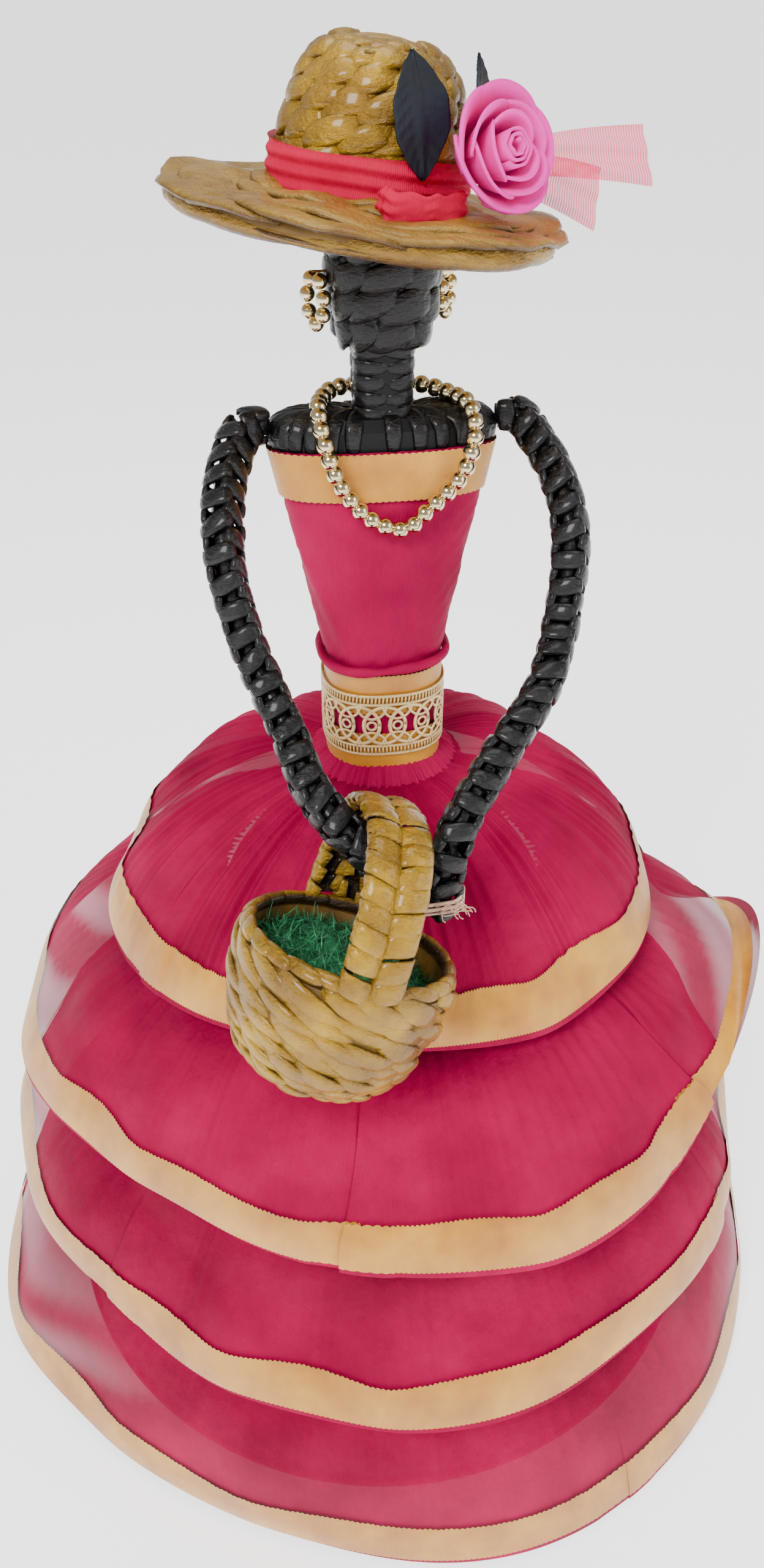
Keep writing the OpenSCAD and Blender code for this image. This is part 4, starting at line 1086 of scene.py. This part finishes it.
# two tubes, each wound with a flat strip, run side by side over the arch
a = np.linspace(0, np.pi, 121)
half = BASKET_R - 1.5
arch_x = half * np.sign(np.cos(a)) * np.abs(np.cos(a)) ** 0.8
arch_z = -1.5 + (HANDLE_H + 1.5 - HANDLE_T / 2) * np.sin(a) ** 0.8
arch = xyz(arch_x, 0 * a, arch_z)
arch = resample(arch, 0.5)
arch_along = unit(np.gradient(arch, axis=0))
arch_out = unit(np.cross(arch_along, [0, 1.0, 0])) * 1.0
if arch_out[len(arch) // 2, 2] < 0:
    arch_out = -arch_out
handle_rot = turn(HANDLE_TURN, "Z")
parts = []
rng = np.random.default_rng(53)
step = 6.6
for lane in (-1, 1):
    y0 = lane * HANDLE_W / 4
    for i in range(int(len(arch) * 0.5 / step)):
        j = rng.uniform(-1, 1, 3)
        sweep = np.linspace(-1, 1, 13)
        angle = sweep * math.radians(158)
        at = (i + 0.5) * step + sweep * step * (0.42 + 0.2 * j[1]) * lane + 0.9 * j[0]
        idx = np.clip(at / 0.5, 0, len(arch) - 1)
        base = np.stack([np.interp(idx, np.arange(len(arch)), arch[:, k]) for k in range(3)], 1)
        out = np.stack([np.interp(idx, np.arange(len(arch)), arch_out[:, k]) for k in range(3)], 1)
        across = np.array([0, 1.0, 0])
        ex, ez = HANDLE_W / 4 + 0.1, HANDLE_T / 2 + 0.1 + 0.35 * j[2]
        offset = across * (y0 + ex * np.sin(angle))[:, None] + out * (ez * np.cos(angle))[:, None]
        normal = across * (np.sin(angle) / ex)[:, None] + out * (np.cos(angle) / ez)[:, None]
        path = (base + offset) @ handle_rot.T
        parts.append(strand(basket_space(path), unit(normal) @ handle_rot.T @ BASKET_M.T, step * 1.12,
                            2.0 + 0.5 * j[2], taper=0.7))
points, faces, shade = join(parts)
make("wrapped_basket_handle", points, faces, gold_paper, "basket", shade=shade,
     replaces=("basket_handle",))

# moss: a low mound with short curled blades
rng = np.random.default_rng(54)
u = np.linspace(0, TAU, 49)[None]
v = np.linspace(0, 1, 13)[:, None]
r = 29.0 * v
z = (-7.0 + 1.8 * np.sin(3 * u + 2) * v + 1.5 * np.cos(7 * u) * v * (1 - v) * 2 - 2.0 * v ** 4
     + 2.0 * (r * np.cos(u - 2.6)) / 29)
mound = basket_space(xyz(r * np.cos(u), r * np.sin(u), z))
parts = [(mound.reshape(-1, 3), grid_faces(13, 49), np.zeros(13 * 49))]
for i in range(1500):
    q, w = rng.uniform(0, 1), rng.uniform(0, TAU)
    rr = 28.5 * math.sqrt(q)
    start = np.array([rr * math.cos(w), rr * math.sin(w), -7.0 + 2.0 * rr * math.cos(w - 2.6) / 29])
    lean = unit(np.array([rng.normal(0, 0.8), rng.normal(0, 0.8), rng.uniform(0.3, 1.0)]))
    bend = rng.normal(0, 1.0, 3)
    length = rng.uniform(2.5, 6.5)
    s = np.array([0, 0.35, 0.7, 1.0])[:, None]
    spine = start + lean * s * length + bend * s ** 2 * length * 0.22
    spine[:, 2] = np.minimum(spine[:, 2], 0.0 + 3.0 * math.cos(w - 2.6))
    limit = 29.5 / np.maximum(np.hypot(spine[:, 0], spine[:, 1]), 29.5)
    spine[:, :2] *= limit[:, None]
    side = unit(np.cross(lean, bend))
    blade = np.concatenate([spine - side * 0.32 * (1 - s * 0.8), spine + side * 0.32 * (1 - s * 0.8)])
    parts.append((basket_space(blade), [[0, 1, 5, 4], [1, 2, 6, 5], [2, 3, 7, 6]], np.full(8, 1.0)))
points, faces, shade = join(parts)
make("dyed_moss_tuft", points, faces, moss_mat, "basket", shade=shade, replaces=("basket_moss",))


# ---- floor and light ------------------------------------------------------------------
# A pale seamless sheet and large soft lamps, as in a plain product picture.
floor_mat, _, _ = material("pale_studio_sheet", Base_Color=lin("#FDFDFD"), Roughness=0.9,
                           Emission_Color=lin("#FFFFFF"), Emission_Strength=1.5)
floor_mesh = bpy.data.meshes.new("floor")
floor_mesh.from_pydata([(-90, -90, 0), (90, -90, 0), (90, 90, 0), (-90, 90, 0)], [], [[0, 1, 2, 3]])
floor_mesh.materials.append(floor_mat)
floor = bpy.data.objects.new("floor", floor_mesh)
bpy.context.scene.collection.objects.link(floor)

world = bpy.data.worlds.new("studio")
world.use_nodes = True
world.node_tree.nodes["Background"].inputs["Color"].default_value = (1.0, 1.0, 1.0, 1.0)
world.node_tree.nodes["Background"].inputs["Strength"].default_value = 0.5
bpy.context.scene.world = world


def lamp(name, place, aim, size, power):
    """A square soft lamp at place, turned towards aim."""
    data = bpy.data.lights.new(name, "AREA")
    data.size = size
    data.energy = power
    light = bpy.data.objects.new(name, data)
    bpy.context.scene.collection.objects.link(light)
    light.location = place
    light.rotation_euler = (Vector(aim) - Vector(place)).to_track_quat("-Z", "Y").to_euler()


lamp("key", (-0.7, -1.0, 1.5), (0, 0, 0.25), 0.6, 30)
lamp("fill", (1.1, -0.8, 0.9), (0, 0, 0.25), 0.9, 8)
lamp("top", (0.1, 0.3, 1.6), (0, 0, 0.3), 0.8, 10)
